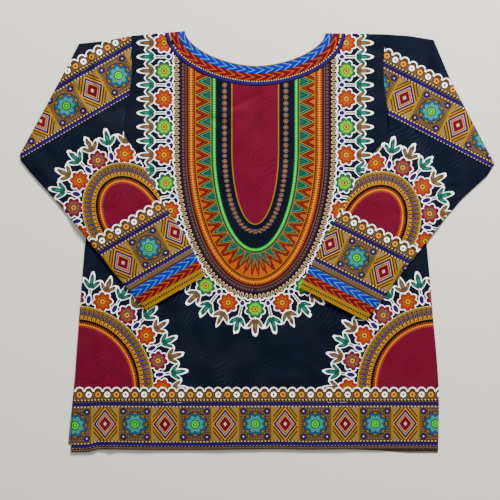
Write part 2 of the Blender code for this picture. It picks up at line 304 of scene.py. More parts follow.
# ------------------------------------------------------------------ creases too fine for the solids

FRONT_CREASES = (
    Fold(-0.212, 0.3535, -0.140, 0.3515, 0.0050, -0.0030),
    Fold(-0.205, 0.3405, -0.160, 0.3370, 0.0060, 0.0018),
    Fold(-0.212, 0.3160, -0.165, 0.3290, 0.0070, 0.0015),
    Fold(-0.205, 0.2860, -0.185, 0.3120, 0.0070, -0.0012),
    Fold(-0.182, 0.3470, -0.150, 0.3425, 0.0040, 0.0012),
    Fold(0.186, 0.3560, 0.214, 0.3480, 0.0060, -0.0030),
    Fold(0.180, 0.3380, 0.212, 0.3310, 0.0060, 0.0018),
    Fold(0.168, 0.3130, 0.208, 0.3060, 0.0070, -0.0012),
    Fold(-0.085, 0.2230, -0.050, 0.2050, 0.0050, -0.0015),
    Fold(-0.045, 0.2410, 0.004, 0.2660, 0.0050, -0.0015),
    Fold(0.008, 0.2450, -0.020, 0.2010, 0.0045, 0.0015),
    Fold(-0.058, 0.2630, -0.058, 0.2200, 0.0050, 0.0012),
    Fold(0.050, 0.2350, 0.062, 0.1850, 0.0080, 0.0009),
    Fold(-0.300, -0.3250, -0.286, -0.3700, 0.0060, -0.0027),
    Fold(-0.272, -0.3480, -0.262, -0.3720, 0.0060, 0.0018),
    Fold(-0.230, -0.3180, -0.170, -0.3230, 0.0070, 0.0012),
    Fold(-0.140, -0.2350, -0.060, -0.2540, 0.0080, 0.0012),
    Fold(-0.160, -0.2080, -0.100, -0.2480, 0.0070, -0.0009),
    Fold(0.030, -0.2480, 0.105, -0.2400, 0.0080, 0.0012),
    Fold(0.085, -0.2040, 0.140, -0.2420, 0.0070, -0.0009),
    Fold(0.180, -0.2600, 0.200, -0.3380, 0.0080, 0.0012),
    Fold(-0.285, -0.1700, -0.276, -0.2560, 0.0070, 0.0015),
    Fold(-0.250, -0.2260, -0.215, -0.2480, 0.0060, 0.0009),
    Fold(0.290, -0.1850, 0.276, -0.2650, 0.0080, 0.0012),
    Fold(0.012, 0.1200, 0.006, 0.0350, 0.0070, 0.0009),
    Fold(-0.075, 0.0900, -0.060, 0.0000, 0.0080, 0.0009),
    Fold(0.085, 0.0750, 0.110, -0.0200, 0.0080, 0.0009),
    Fold(-0.060, -0.0700, 0.030, -0.0900, 0.0080, -0.0007),
)
BACK_CREASES = (
    Fold(-0.180, 0.2600, -0.020, 0.3000, 0.0110, 0.0006),
    Fold(0.200, 0.2700, 0.060, 0.2300, 0.0110, -0.0005),
    Fold(-0.230, 0.0800, -0.090, 0.1400, 0.0120, 0.0006),
    Fold(0.110, 0.1000, 0.210, 0.0200, 0.0120, 0.0006),
    Fold(-0.060, -0.0500, 0.080, -0.1100, 0.0130, -0.0005),
    Fold(-0.240, -0.2000, -0.130, -0.2700, 0.0120, 0.0006),
    Fold(0.120, -0.2100, 0.240, -0.2900, 0.0120, 0.0005),
)
LEFT_SLEEVE_CREASES = (
    Fold(-0.3125, 0.3520, -0.3085, 0.3380, 0.0055, -0.0034),
    Fold(-0.3180, 0.3525, -0.2900, 0.3545, 0.0040, -0.0026),
    Fold(-0.3060, 0.3360, -0.3020, 0.2960, 0.0060, -0.0034),
    Fold(-0.2960, 0.3380, -0.2860, 0.2820, 0.0080, 0.0024),
    Fold(-0.3180, 0.3280, -0.3300, 0.2880, 0.0060, 0.0024),
    Fold(-0.2860, 0.2820, -0.3060, 0.2500, 0.0070, 0.0018),
    Fold(-0.3300, 0.2760, -0.2900, 0.2560, 0.0060, -0.0018),
    Fold(-0.3420, 0.2560, -0.3020, 0.2380, 0.0060, 0.0019),
    Fold(-0.3560, 0.2360, -0.3260, 0.2330, 0.0050, -0.0015),
    Fold(-0.2600, 0.3520, -0.2450, 0.3040, 0.0070, -0.0015),
    Fold(-0.2480, 0.2900, -0.2560, 0.2420, 0.0060, 0.0015),
    Fold(-0.2720, 0.1700, -0.2400, 0.1400, 0.0080, 0.0012),
    Fold(-0.3940, 0.2020, -0.3740, 0.1700, 0.0060, 0.0015),
    Fold(-0.3700, 0.1150, -0.3300, 0.1010, 0.0070, 0.0012),
    Fold(-0.2980, 0.0500, -0.2620, 0.0600, 0.0070, -0.0012),
    Fold(-0.2380, -0.0260, -0.1990, -0.0020, 0.0070, 0.0015),
    Fold(-0.1950, -0.0700, -0.1500, -0.0490, 0.0060, -0.0012),
)
RIGHT_SLEEVE_CREASES = (
    Fold(0.2930, 0.3640, 0.3160, 0.3480, 0.0055, -0.0029),
    Fold(0.3010, 0.3500, 0.3120, 0.3000, 0.0070, -0.0022),
    Fold(0.2760, 0.3500, 0.2700, 0.2960, 0.0070, 0.0022),
    Fold(0.3220, 0.3300, 0.3420, 0.2880, 0.0060, 0.0019),
    Fold(0.2480, 0.3420, 0.2460, 0.3000, 0.0060, 0.0015),
    Fold(0.2900, 0.2860, 0.3120, 0.2480, 0.0070, 0.0015),
    Fold(0.3300, 0.2500, 0.3560, 0.2340, 0.0060, -0.0015),
    Fold(0.2600, 0.2040, 0.2400, 0.1640, 0.0080, 0.0012),
    Fold(0.3900, 0.1960, 0.3700, 0.1600, 0.0060, 0.0015),
    Fold(0.3560, 0.1100, 0.3160, 0.0960, 0.0070, 0.0012),
    Fold(0.2900, 0.0380, 0.2500, 0.0500, 0.0070, -0.0012),
    Fold(0.2300, -0.0400, 0.1900, -0.0180, 0.0070, 0.0015),
    Fold(0.1860, -0.0900, 0.1400, -0.0640, 0.0060, -0.0012),
)

Wave = namedtuple("Wave", "length height seed")
SOFT_WAVES = (Wave(0.110, 0.00090, 3.0), Wave(0.046, 0.00050, 17.0), Wave(0.019, 0.00014, 41.0))
BACK_WAVES = 1.0  # how far off the back's waves are taken, so that they differ from the front's


def soft_waves(x, y):
    """The slight unevenness of cloth that has been folded and laid out again."""
    return sum(
        wave.height * noise.noise(Vector((x / wave.length, y / wave.length, wave.seed)))
        for wave in SOFT_WAVES
    )


def seam_gap_at(x, y):
    """How far inside the body's outline this point is, to its nearest side seam."""
    return min(x - body_edge(y, -1), body_edge(y, 1) - x)


def front_surface(x, y):
    """The top of the front's cloth. It comes down to the back along the side seams and the shoulders."""
    inside = min(seam_gap_at(x, y), top_y(x) - y)
    if NECK_LEFT.x < x < NECK_RIGHT.x:
        inside = seam_gap_at(x, y)
    held = 1 - smooth(inside, 0.0, EDGE_SOFT)
    free = 1 - held
    relief = (fold_height(FRONT_CREASES, x, y) + soft_waves(x, y)) * free
    open_below = smooth(VENT_TOP_Y - y, 0.0, VENT_FREE)
    lowest = 2 * WALL + SEAM_GAP - EDGE_DROP
    return max(lowest, front_top(x, y) + relief - EDGE_DROP * held * (1 - open_below))


def front_thickness(x, y):
    """Thicker where the hem and the two vents are turned in."""
    from_hem = y - along_hem(FRONT_HEM, x)
    from_vent = seam_gap_at(x, y) if y < VENT_TOP_Y else 1.0
    turned = 1 - smooth(min(from_hem, from_vent + VENT_LESS), TURN_IN - TURN_SOFT, TURN_IN + TURN_SOFT)
    return mix(CLOTH, TURNED, turned)


def top_columns():
    """The x of each column of the front at its top edge: closest together at the two ends of the neck."""
    shoulder = 20
    neck = 74
    columns = [mix(SHOULDER_LEFT.x, NECK_LEFT.x, i / shoulder) for i in range(shoulder)]
    for i in range(neck + 1):
        even = i / neck
        bunched = (1 - math.cos(math.pi * even)) / 2
        columns.append(mix(NECK_LEFT.x, NECK_RIGHT.x, (even + bunched) / 2))
    steps = range(1, shoulder + 1)
    return columns + [mix(NECK_RIGHT.x, SHOULDER_RIGHT.x, i / shoulder) for i in steps]


def across_body(top_x, y):
    """The x at the level y of the column that meets the top edge at top_x."""
    share = (top_x - SHOULDER_LEFT.x) / (SHOULDER_RIGHT.x - SHOULDER_LEFT.x)
    return mix(body_edge(y, -1), body_edge(y, 1), share)


def body_grid(hem, left_peek):
    """The plan points of a body piece, column by column from its hem to its top edge."""
    low_rows, high_rows = 116, 32
    grid = []
    for top_x in top_columns():
        share = (top_x - SHOULDER_LEFT.x) / (SHOULDER_RIGHT.x - SHOULDER_LEFT.x)

        def plan_x(y):
            peek = left_peek * (1 - smooth(y, HEM_Y, VENT_TOP_Y)) * (1 - share) ** 2
            return across_body(top_x, y) - peek

        hem_y = along_hem(hem, plan_x(HEM_Y))
        levels = [mix(hem_y, UNDERARM_Y, i / low_rows) for i in range(low_rows)]
        levels += [mix(UNDERARM_Y, top_y(top_x), i / high_rows) for i in range(high_rows + 1)]
        grid.append([(plan_x(y), y) for y in levels])
    return grid


def inside_outline(outline, x, y):
    """True where this point of the plan is inside the outline."""
    inside = False
    for (x0, y0), (x1, y1) in zip(outline, outline[1:] + outline[:1]):
        if (y0 > y) != (y1 > y) and x < x0 + (y - y0) * (x1 - x0) / (y1 - y0):
            inside = not inside
    return inside


def sleeve_outline(table):
    outer = [(section.outer_x, section.outer_y) for section in table]
    return outer + [(section.inner_x, section.inner_y) for section in reversed(table)]


# ------------------------------------------------------------------ building a piece of cloth

Skin = namedtuple("Skin", "points faces corners")


def skins_joined(outer, inner, rims):
    """One closed shell from an outer and an inner skin of the same points. rims are runs of points."""
    points = outer.points + inner.points
    count = len(outer.points)
    faces = list(outer.faces)
    faces += [tuple(count + index for index in reversed(face)) for face in inner.faces]
    for rim in rims:
        for near, far in zip(rim, rim[1:]):
            faces.append((far, near, near + count, far + count))
    return points, faces


def cloth_object(name, points, faces, material, fields, wrong_side):
    """A mesh object of cloth. fields holds, by name, three numbers for each corner of each face."""
    mesh = bpy.data.meshes.new(name)
    mesh.from_pydata(points, [], faces)
    mesh.update()
    for field, numbers in fields.items():
        layer = mesh.attributes.new(field, "FLOAT_VECTOR", "CORNER")
        layer.data.foreach_set("vector", np.ascontiguousarray(numbers, np.float32).ravel())
    layer = mesh.attributes.new("wrong_side", "FLOAT", "FACE")
    layer.data.foreach_set("value", np.ascontiguousarray(wrong_side, np.float32))
    mesh.shade_smooth()
    mesh.set_sharp_from_angle(angle=math.radians(SHARP_ANGLE))
    mesh.materials.append(material)
    made = bpy.data.objects.new(name, mesh)
    bpy.context.scene.collection.objects.link(made)
    return made


def corner_values(faces, numbers):
    """numbers holds a row for each point, and the result one for each corner of each face."""
    return numbers[np.array([index for face in faces for index in face])]


def grid_faces(columns, rows, facing_up):
    faces = []
    for i in range(columns - 1):
        for j in range(rows - 1):
            here = i * rows + j
            face = (here, here + rows, here + rows + 1, here + 1)
            faces.append(face if facing_up else tuple(reversed(face)))
    return faces


def grid_rim(columns, rows, facing_up):
    """The points round the edge of a grid, back to where they start."""
    rim = [i * rows for i in range(columns)]
    rim += [(columns - 1) * rows + j for j in range(1, rows)]
    rim += [i * rows + rows - 1 for i in range(columns - 2, -1, -1)]
    rim += [j for j in range(rows - 2, -1, -1)]
    return rim if facing_up else rim[::-1]


def body_piece(name, grid, heights, facing_up, cotton_prints):
    """The front or the back. heights(x, y) gives the cloth's printed side and its other side there."""
    columns, rows = len(grid), len(grid[0])
    flat = [point for column in grid for point in column]
    pairs = [heights(x, y) for x, y in flat]
    outer = [(x, y, pair[0]) for (x, y), pair in zip(flat, pairs)]
    inner = [(x, y, pair[1]) for (x, y), pair in zip(flat, pairs)]
    faces = grid_faces(columns, rows, facing_up)
    outer_skin = Skin(outer, faces, None)
    inner_skin = Skin(inner, faces, None)
    points, all_faces = skins_joined(outer_skin, inner_skin, [grid_rim(columns, rows, facing_up)])
    plan = np.array(flat + flat)
    fields = body_fields(plan[:, 0], plan[:, 1])
    corners = {key: corner_values(all_faces, numbers) for key, numbers in fields.items()}
    wrong_side = np.zeros(len(all_faces))
    wrong_side[len(faces) : 2 * len(faces)] = 1.0
    made = cloth_object(name, points, all_faces, cotton_prints[0], corners, wrong_side)
    made.data.materials.append(cotton_prints[1])
    by_hem = [int(plan[list(face), 1].mean() < BORDER_Y) for face in all_faces]
    made.data.polygons.foreach_set("material_index", by_hem)
    return made


SLEEVE_COVERS = (sleeve_outline(LEFT_SLEEVE), sleeve_outline(RIGHT_SLEEVE))


def front_heights(x, y):
    """The front's printed side and its other side. Under the sleeves it is pressed nearly flat."""
    top = front_surface(x, y)
    if any(inside_outline(cover, x, y) for cover in SLEEVE_COVERS):
        top = min(top, front_top(x, y) + PRESSED)
    return top, top - front_thickness(x, y)


def back_heights(x, y):
    """The back's printed side, which is underneath, and its other side."""
    free = smooth(min(seam_gap_at(x, y), top_y(x) - y, y - HEM_Y), 0.0, BACK_FREE)
    lift = max(0.0, fold_height(BACK_CREASES, x, y) + soft_waves(x + BACK_WAVES, y)) * free
    lift = min(lift, WALL - CLOTH)
    return lift, lift + CLOTH


def sections_between(table):
    """The table's sections with more between them, each with how far it is along the outer edge."""
    fine = [(0.0, table[0])]
    for start, end in zip(table, table[1:]):
        length = math.hypot(end.outer_x - start.outer_x, end.outer_y - start.outer_y)
        before = fine[-1][0]
        steps = math.ceil(length / FINE_RING)
        for i in range(1, steps + 1):
            section = Section(*(mix(a, b, i / steps) for a, b in zip(start, end)))
            fine.append((before + length * i / steps, section))
    return fine


class SleeveRing:
    """The points of one ring round a sleeve, from its place along the outer edge."""

    def __init__(self, side, section, along, to_cuff, folds, creases):
        self.side = side
        self.air = section.air
        self.folds = folds
        self.creases = creases
        self.outer = Vector((section.outer_x, section.outer_y))
        self.inner = Vector((section.inner_x, section.inner_y))
        self.width = (self.inner - self.outer).length
        self.across = (self.inner - self.outer) / self.width
        self.armhole_share = max(0.0, 1 - along / ARMHOLE_REACH)
        self.seam_drop = EDGE_DROP * (1 - smooth(along, 0.0, EDGE_SOFT))
        self.crease_free = smooth(along, 0.0, EDGE_SOFT)
        turned = 1 - smooth(to_cuff, TURN_IN - TURN_SOFT, TURN_IN + TURN_SOFT)
        self.cloth = mix(CLOTH, TURNED, turned)

    def plan(self, share):
        point = self.outer.lerp(self.inner, share)
        start, end = body_edge(self.outer.y, self.side), body_edge(self.inner.y, self.side)
        bend = (body_edge(point.y, self.side) - mix(start, end, share)) * self.armhole_share
        return Vector((point.x + bend, point.y))

    def under(self, point):
        return sleeve_under(point.x, point.y, self.side)

    def lower(self, share, inset):
        point = self.plan(share)
        return Vector((point.x, point.y, self.under(point) + inset))

    def upper(self, share, inset):
        point = self.plan(share)
        bulge = math.sin(math.pi * share)
        loft = SLEEVE_LOFT * bulge**LOFT_ROUND
        held = fold_height(self.folds, point.x, point.y) * bulge
        air = min(MOST_AIR, max(SEAM_GAP, SEAM_GAP + self.air * (loft + held)))
        relief = fold_height(self.creases, point.x, point.y) + soft_waves(point.x, point.y)
        relief *= min(1.0, CREASE_RISE * bulge) * self.crease_free
        rise = max(2 * CLOTH + SEAM_GAP, 2 * WALL + air + relief - self.seam_drop)
        return Vector((point.x, point.y, self.under(point) + rise - inset))

    def fold(self, edge, inward, turn, inset):
        radius = WALL + SEAM_GAP / 2 - self.seam_drop / 2
        centre = edge + inward * radius
        reach = radius - inset
        plan = centre - inward * reach * math.cos(math.radians(turn))
        height = self.under(centre) + radius
        return Vector((plan.x, plan.y, height + reach * math.sin(math.radians(turn))))

    def points(self, inset):
        rim = (WALL + SEAM_GAP / 2) / self.width
        shares = [rim] + [i / ACROSS_SLEEVE for i in range(1, ACROSS_SLEEVE)] + [1 - rim]
        ring = [self.lower(share, inset) for share in shares]
        ring += [self.fold(self.inner, -self.across, turn, inset) for turn in ROUND_FOLD]
        ring += [self.upper(share, inset) for share in reversed(shares)]
        ring += [self.fold(self.outer, self.across, turn, inset) for turn in reversed(ROUND_FOLD)]
        return ring


def sleeve_rings(table, side, folds, creases):
    fine = sections_between(table)
    end = fine[-1][0]
    return [SleeveRing(side, section, along, end - along, folds, creases) for along, section in fine]


def make_sleeve(name, side, rings, material):
    """A flattened tube of cloth. Its print runs on round the outer fold and stops at the underarm seam."""
    outer, inner = [], []
    for ring in rings:
        outer += ring.points(0.0)
        inner += ring.points(ring.cloth)
    count = len(outer) // len(rings)
    faces, on_top = [], []
    first_upper = ACROSS_SLEEVE + 1 + len(ROUND_FOLD) // 2 + 1
    last_upper = first_upper + ACROSS_SLEEVE + len(ROUND_FOLD)
    for i in range(len(rings) - 1):
        for j in range(count):
            near, far = i * count, (i + 1) * count
            face = (near + j, near + (j + 1) % count, far + (j + 1) % count, far + j)
            faces.append(face if side < 0 else tuple(reversed(face)))
            on_top.append(first_upper - 1 <= j < last_upper)
    start = list(range(count)) + [0]
    end = [(len(rings) - 1) * count + index for index in start]
    rims = [end[::-1], start] if side < 0 else [end, start[::-1]]
    points, all_faces = skins_joined(Skin(outer, faces, None), Skin(inner, faces, None), rims)
    plan = np.array([(point.x, point.y) for point in points])
    hinge = np.array([(ring.outer.x, ring.outer.y) for ring in rings for _ in range(count)] * 2)
    turned_over = 2 * hinge - plan
    seen = sleeve_fields(side, plan[:, 0], plan[:, 1])
    hidden = sleeve_fields(side, turned_over[:, 0], turned_over[:, 1])
    rim_faces = len(all_faces) - 2 * len(faces)
    top_faces = np.array(on_top * 2 + [True] * rim_faces)
    top_corners = np.repeat(top_faces, [len(face) for face in all_faces])[:, None]
    corners = {}
    for key in seen:
        top = corner_values(all_faces, seen[key])
        under = corner_values(all_faces, hidden[key])
        corners[key] = np.where(top_corners, top, under)
    wrong_side = np.zeros(len(all_faces))
    wrong_side[len(faces) : 2 * len(faces)] = 1.0
    return cloth_object(name, points, all_faces, material, corners, wrong_side)


# ------------------------------------------------------------------ where the print lies on each piece

# The print is laid out on a drawing grid, whose Y runs down. One step of it is STEP long.
STEP = 0.0018
GRID_X, GRID_Y = 257.4, 241.81  # the middle of the shirt on the grid
AXIS_X = 255.2  # the middle of the neck, which the body's print is even about

# The bib on the chest: each rim has straight sides down to BIB_Y and half an oval below it
BIB_TOP, BIB_Y = 10.0, 150.0
Rim = namedtuple("Rim", "half tip")
ORANGE_RIM = Rim(64.0, 282.0)
GREEN_RIM = Rim(41.0, 250.0)
CRIMSON_RIM = Rim(23.0, 224.0)

# The domes that stand on the border, at the hem's two corners and on each cuff
BORDER_TOP = 388.0
CUFF_BORDER = 88.0  # how deep the border is at a cuff
ARM_BORDER = 252.0  # how far from the cuff the inner edge of the sleeve's second border is
Dome = namedtuple("Dome", "x y half_x half_up")
LEFT_DOME = Dome(AXIS_X - 180.0, BORDER_TOP, 60.0, 64.0)
RIGHT_DOME = Dome(AXIS_X + 180.0, BORDER_TOP, 60.0, 64.0)
SLEEVE_DOME = Dome(0.0, -CUFF_BORDER, 27.0, 38.0)

FLOWERS_OUT = 27.0  # the line of flowers is this far outside a rim
BEADS_OUT = 14.5  # and the bib's row of beads this far
FLOWER = 28.0  # from one flower to the next
BEAD = 4.5  # from one bead to the next
SPREAD_SHARE = 0.65  # how much of a curve's widening is taken off what stands outside it
LEAST_SPREAD, MOST_SPREAD = 0.6, 2.0
BEND_WINDOW = 9  # points of the curve that its bend is averaged over
RIM_STEP = 5.0  # between the points of a rim's straight side
TURN_STEP = 3.0  # degrees between the points of a curve
TIP, PAST_TIP = 90.0, 120.0  # degrees round a rim at its tip, and where a line that passes it ends
COMB_START, COMB_END = -215.0, 36.0  # degrees that a dome's comb is drawn from and to
NECK_POINTS = 80  # points along the neckline
HEM_LEVEL = 449.9  # the hem's level on the grid
DIP_DEPTH = 62.0  # how far down the border it has taken on all of the hem's dip
FAR = 1e9  # farther off than anything on the shirt


def on_grid(x, y):
    """Places on the shirt, in metres, as places on the drawing grid."""
    return x / STEP + GRID_X, GRID_Y - y / STEP


def nearest_on(line, x, y):
    """For each place, how far along the line its nearest point is, and how far it is off the line.

    Places to the right of the line, as one goes along it with Y down, count as negative."""
    best = np.full(np.shape(x), FAR)
    run = np.zeros(np.shape(x))
    turn = np.ones(np.shape(x))
    before = 0.0
    for (x0, y0), (x1, y1) in zip(line, line[1:]):
        length = math.hypot(x1 - x0, y1 - y0)
        along_x, along_y = (x1 - x0) / length, (y1 - y0) / length
        from_x, from_y = x - x0, y - y0
        share = np.clip(from_x * along_x + from_y * along_y, 0.0, length)
        off = np.hypot(from_x - along_x * share, from_y - along_y * share)
        nearer = off < best
        best = np.where(nearer, off, best)
        run = np.where(nearer, before + share, run)
        turn = np.where(nearer, np.sign(along_y * from_x - along_x * from_y), turn)
        before += length
    return run, best * np.where(turn == 0, 1.0, turn)


def run_lengths(line):
    lengths = [math.hypot(b[0] - a[0], b[1] - a[1]) for a, b in zip(line, line[1:])]
    return np.concatenate([[0.0], np.cumsum(lengths)])


def rim_line(rim, out, last):
    """A line this far outside a rim of the bib, from its top round to the angle last, in degrees."""
    straight = [(rim.half + out, float(y)) for y in np.arange(BIB_TOP, BIB_Y, RIM_STEP)]
    turns = np.radians(np.arange(0.0, last + 0.1, TURN_STEP))
    down = rim.tip - BIB_Y
    slant = np.hypot(down * np.cos(turns), rim.half * np.sin(turns))
    offs = rim.half * np.cos(turns) + out * down * np.cos(turns) / slant
    levels = BIB_Y + down * np.sin(turns) + out * rim.half * np.sin(turns) / slant
    return straight + list(zip(offs.tolist(), levels.tolist()))


def bib_gap(off_axis, y, rim):
    """How far each place is outside this rim of the bib."""
    line = rim_line(rim, 0.0, TIP)
    _, off = nearest_on(line, off_axis, y)
    half = np.interp(y, [place[1] for place in line], [place[0] for place in line])
    inside = (off_axis < half) & (y < rim.tip)
    return np.where(inside, -np.abs(off), np.abs(off))


def spread_along(line, lengths, run, off):
    """How many times wider the places at this offset lie than those on the line itself."""
    along = np.gradient(np.array(line), axis=0)
    heading = np.unwrap(np.arctan2(along[:, 1], along[:, 0]))
    bend = np.gradient(heading) / np.gradient(lengths)
    even = np.ones(BEND_WINDOW) / BEND_WINDOW
    bend = np.convolve(np.pad(bend, BEND_WINDOW // 2, mode="edge"), even, mode="valid")
    return np.clip(1 + SPREAD_SHARE * off * np.interp(run, lengths, bend), LEAST_SPREAD, MOST_SPREAD)


def bib_fields(x, y):
    """The gaps to the three rims, then the flowers' run, gap and spread and the run of the beads."""
    off_axis = np.abs(x - AXIS_X)
    rims = [bib_gap(off_axis, y, rim) for rim in (ORANGE_RIM, GREEN_RIM, CRIMSON_RIM)]
    line = rim_line(ORANGE_RIM, FLOWERS_OUT, PAST_TIP)
    lengths = run_lengths(line)
    run, off = nearest_on(line, off_axis, y)
    tip_run, _ = nearest_on(line, np.array([0.0]), np.array([ORANGE_RIM.tip + FLOWERS_OUT]))
    bead_lengths = run_lengths(rim_line(ORANGE_RIM, BEADS_OUT, PAST_TIP))
    beads = (np.interp(run, lengths, bead_lengths) - np.interp(tip_run[0], lengths, bead_lengths)) / BEAD
    spread = FLOWER * spread_along(line, lengths, run, off)
    return rims, (run - tip_run[0]) / FLOWER, off, spread, beads


def dome_fields(dome, x, y):
    """How far each place is outside the dome's comb, then its run in flowers from the top, and its spread."""
    turns = np.radians(np.arange(COMB_START, COMB_END, TURN_STEP))
    comb = np.column_stack([dome.half_x * np.cos(turns), dome.half_up * np.sin(turns)])
    along = np.gradient(comb, axis=0)
    along /= np.hypot(along[:, 0], along[:, 1])[:, None]
    comb += (dome.x, dome.y)
    flowers = comb + FLOWERS_OUT * np.column_stack([along[:, 1], -along[:, 0]])
    _, gap = nearest_on([tuple(place) for place in comb], x, y)
    line = [tuple(place) for place in flowers]
    run, _ = nearest_on(line, x, y)
    top = dome.y - dome.half_up - FLOWERS_OUT
    top_run, _ = nearest_on(line, np.array([dome.x]), np.array([top]))
    spread = FLOWER * spread_along(line, run_lengths(line), run, gap - FLOWERS_OUT)
    return gap, (run - top_run[0]) / FLOWER, spread


def neck_fields(x, y):
    """How far each place is from the neckline, and its run from the neckline's middle."""
    steps = [mix(NECK_LEFT.x, NECK_RIGHT.x, i / NECK_POINTS) for i in range(NECK_POINTS + 1)]
    line = [on_grid(step, top_y(step)) for step in steps]
    run, off = nearest_on(line, x, y)
    return np.abs(off), run - run_lengths(line)[-1] / 2


def hem_dip(x):
    """How far the hem dips below its level, in steps of the grid."""
    hem = [on_grid(point.x, point.y) for point in FRONT_HEM]
    return np.interp(x, [place[0] for place in hem], [place[1] for place in hem]) - HEM_LEVEL


def body_fields(x, y):
    grid_x, grid_y = on_grid(x, y)
    rims, run, off, spread, beads = bib_fields(grid_x, grid_y)
    left_gap, left_run, left_spread = dome_fields(LEFT_DOME, grid_x, grid_y)
    right_gap, right_run, right_spread = dome_fields(RIGHT_DOME, grid_x, grid_y)
    leftward = grid_x < AXIS_X
    dome_gap = np.where(leftward, left_gap, right_gap)
    dome_run = np.where(leftward, left_run, right_run)
    dome_spread = np.where(leftward, left_spread, right_spread)
    by_dome = dome_gap - FLOWERS_OUT < off
    flower_run = np.where(by_dome, dome_run, run)
    flower_gap = np.where(by_dome, dome_gap - FLOWERS_OUT, off)
    flower_spread = np.where(by_dome, dome_spread, spread)
    neck_gap, neck_run = neck_fields(grid_x, grid_y)
    border = grid_y - BORDER_TOP
    border = border - hem_dip(grid_x) * np.clip(border / DIP_DEPTH, 0.0, 1.0)
    return {
        "bib": np.column_stack(rims),
        "flowers": np.column_stack([flower_run, flower_gap, flower_spread]),
        "neck": np.column_stack([by_dome.astype(float), neck_gap, neck_run]),
        "dome": np.column_stack([dome_gap, dome_run, beads]),
        "place": np.column_stack([grid_x, grid_y, border]),
    }


def sleeve_fields(side, x, y):
    """The border and the dome at a cuff, both square to the cuff's own edge."""
    sections = LEFT_SLEEVE if side < 0 else RIGHT_SLEEVE
    grid_x, grid_y = on_grid(x, y)
    outer = np.array(on_grid(sections[-1].outer_x, sections[-1].outer_y))
    inner = np.array(on_grid(sections[-1].inner_x, sections[-1].inner_y))
    middle = (outer + inner) / 2
    across = (inner - outer) / np.hypot(*(inner - outer))
    upward = np.array([across[1], -across[0]])
    if upward[1] > 0:
        upward = -upward
    along_cuff = (grid_x - middle[0]) * across[0] + (grid_y - middle[1]) * across[1]
    from_cuff = (grid_x - middle[0]) * upward[0] + (grid_y - middle[1]) * upward[1]
    nothing = np.zeros(np.shape(x))
    return {
        "cuff": np.column_stack([along_cuff, CUFF_BORDER - from_cuff, nothing]),
        "dome": np.column_stack(dome_fields(SLEEVE_DOME, along_cuff, -from_cuff)),
        "place": np.column_stack([grid_x, grid_y, nothing]),
    }


# ------------------------------------------------------------------ drawing a print with shader nodes


class Value:
    """A number that is worked out at every place on the cloth. It holds the socket that gives it."""

    def __init__(self, socket):
        self.socket = socket

    def __add__(self, other):
        return worked("ADD", self, other)

    def __radd__(self, other):
        return worked("ADD", other, self)

    def __sub__(self, other):
        return worked("SUBTRACT", self, other)

    def __rsub__(self, other):
        return worked("SUBTRACT", other, self)

    def __mul__(self, other):
        return worked("MULTIPLY", self, other)

    def __rmul__(self, other):
        return worked("MULTIPLY", other, self)


def joined(tree, socket, value):
    """Sets an input of a node to a Value, to another node's colour or to a constant."""
    if isinstance(value, Value):
        value = value.socket
    if isinstance(value, bpy.types.NodeSocket):
        tree.links.new(value, socket)
    else:
        socket.default_value = value


def tree_of(*values):
    return next(value.socket.id_data for value in values if isinstance(value, Value))


def worked(operation, *inputs):
    """One step of arithmetic, at every place on the cloth."""
    tree = tree_of(*inputs)
    node = tree.nodes.new("ShaderNodeMath")
    node.operation = operation
    for socket, value in zip(node.inputs, inputs):
        joined(tree, socket, value)
    return Value(node.outputs[0])


MIX_FIRST, MIX_SECOND, MIX_COLOUR = 6, 7, 2  # a Mix node's two colour inputs and its colour output


def printed(cloth, colour, mask):
    """The cloth with a colour printed on it where the mask is 1, and partly where it is between 0 and 1."""
    tree = tree_of(mask)
    node = tree.nodes.new("ShaderNodeMix")
    node.data_type = "RGBA"
    joined(tree, node.inputs[0], mask)
    joined(tree, node.inputs[MIX_FIRST], cloth)
    joined(tree, node.inputs[MIX_SECOND], colour)
    return node.outputs[MIX_COLOUR]


def grain(x, y, size, seed):
    """Soft unevenness from 0 to 1, in blots about this many steps wide."""
    tree = tree_of(x)
    place = tree.nodes.new("ShaderNodeCombineXYZ")
    joined(tree, place.inputs[0], x)
    joined(tree, place.inputs[1], y)
    place.inputs[2].default_value = seed * size
    node = tree.nodes.new("ShaderNodeTexNoise")
    node.inputs["Scale"].default_value = 1 / size
    node.inputs["Detail"].default_value = 0.0
    tree.links.new(place.outputs[0], node.inputs["Vector"])
    return Value(node.outputs[0])


def as_group(draw):
    """Makes a drawing function into a node group, which is built once and can then be used in every print."""

    def drawn(*arguments):
        tree = tree_of(*arguments)
        group = bpy.data.node_groups.get(draw.__name__)
        if group is None:
            group = bpy.data.node_groups.new(draw.__name__, "ShaderNodeTree")
            for i, argument in enumerate(arguments):
                number = isinstance(argument, (Value, float, int))
                kind = "NodeSocketFloat" if number else "NodeSocketColor"
                group.interface.new_socket(f"in_{i}", in_out="INPUT", socket_type=kind)
            group.interface.new_socket("cloth", in_out="OUTPUT", socket_type="NodeSocketColor")
            sockets = group.nodes.new("NodeGroupInput").outputs
            inside = [Value(socket) if socket.type == "VALUE" else socket for socket in sockets[:-1]]
            end = group.nodes.new("NodeGroupOutput")
            group.links.new(draw(*inside), end.inputs[0])
        node = tree.nodes.new("ShaderNodeGroup")
        node.node_tree = group
        for socket, value in zip(node.inputs, arguments):
            joined(tree, socket, value)
        return node.outputs[0]

    return drawn


# ------------------------------------------------------------------ the print's colours


def dye(red, green, blue):
    """A colour of the print, from its values on a screen."""
    shares = [value / 255 for value in (red, green, blue)]
    linear = [s / 12.92 if s <= 0.04045 else ((s + 0.055) / 1.055) ** 2.4 for s in shares]
    return (*linear, 1.0)


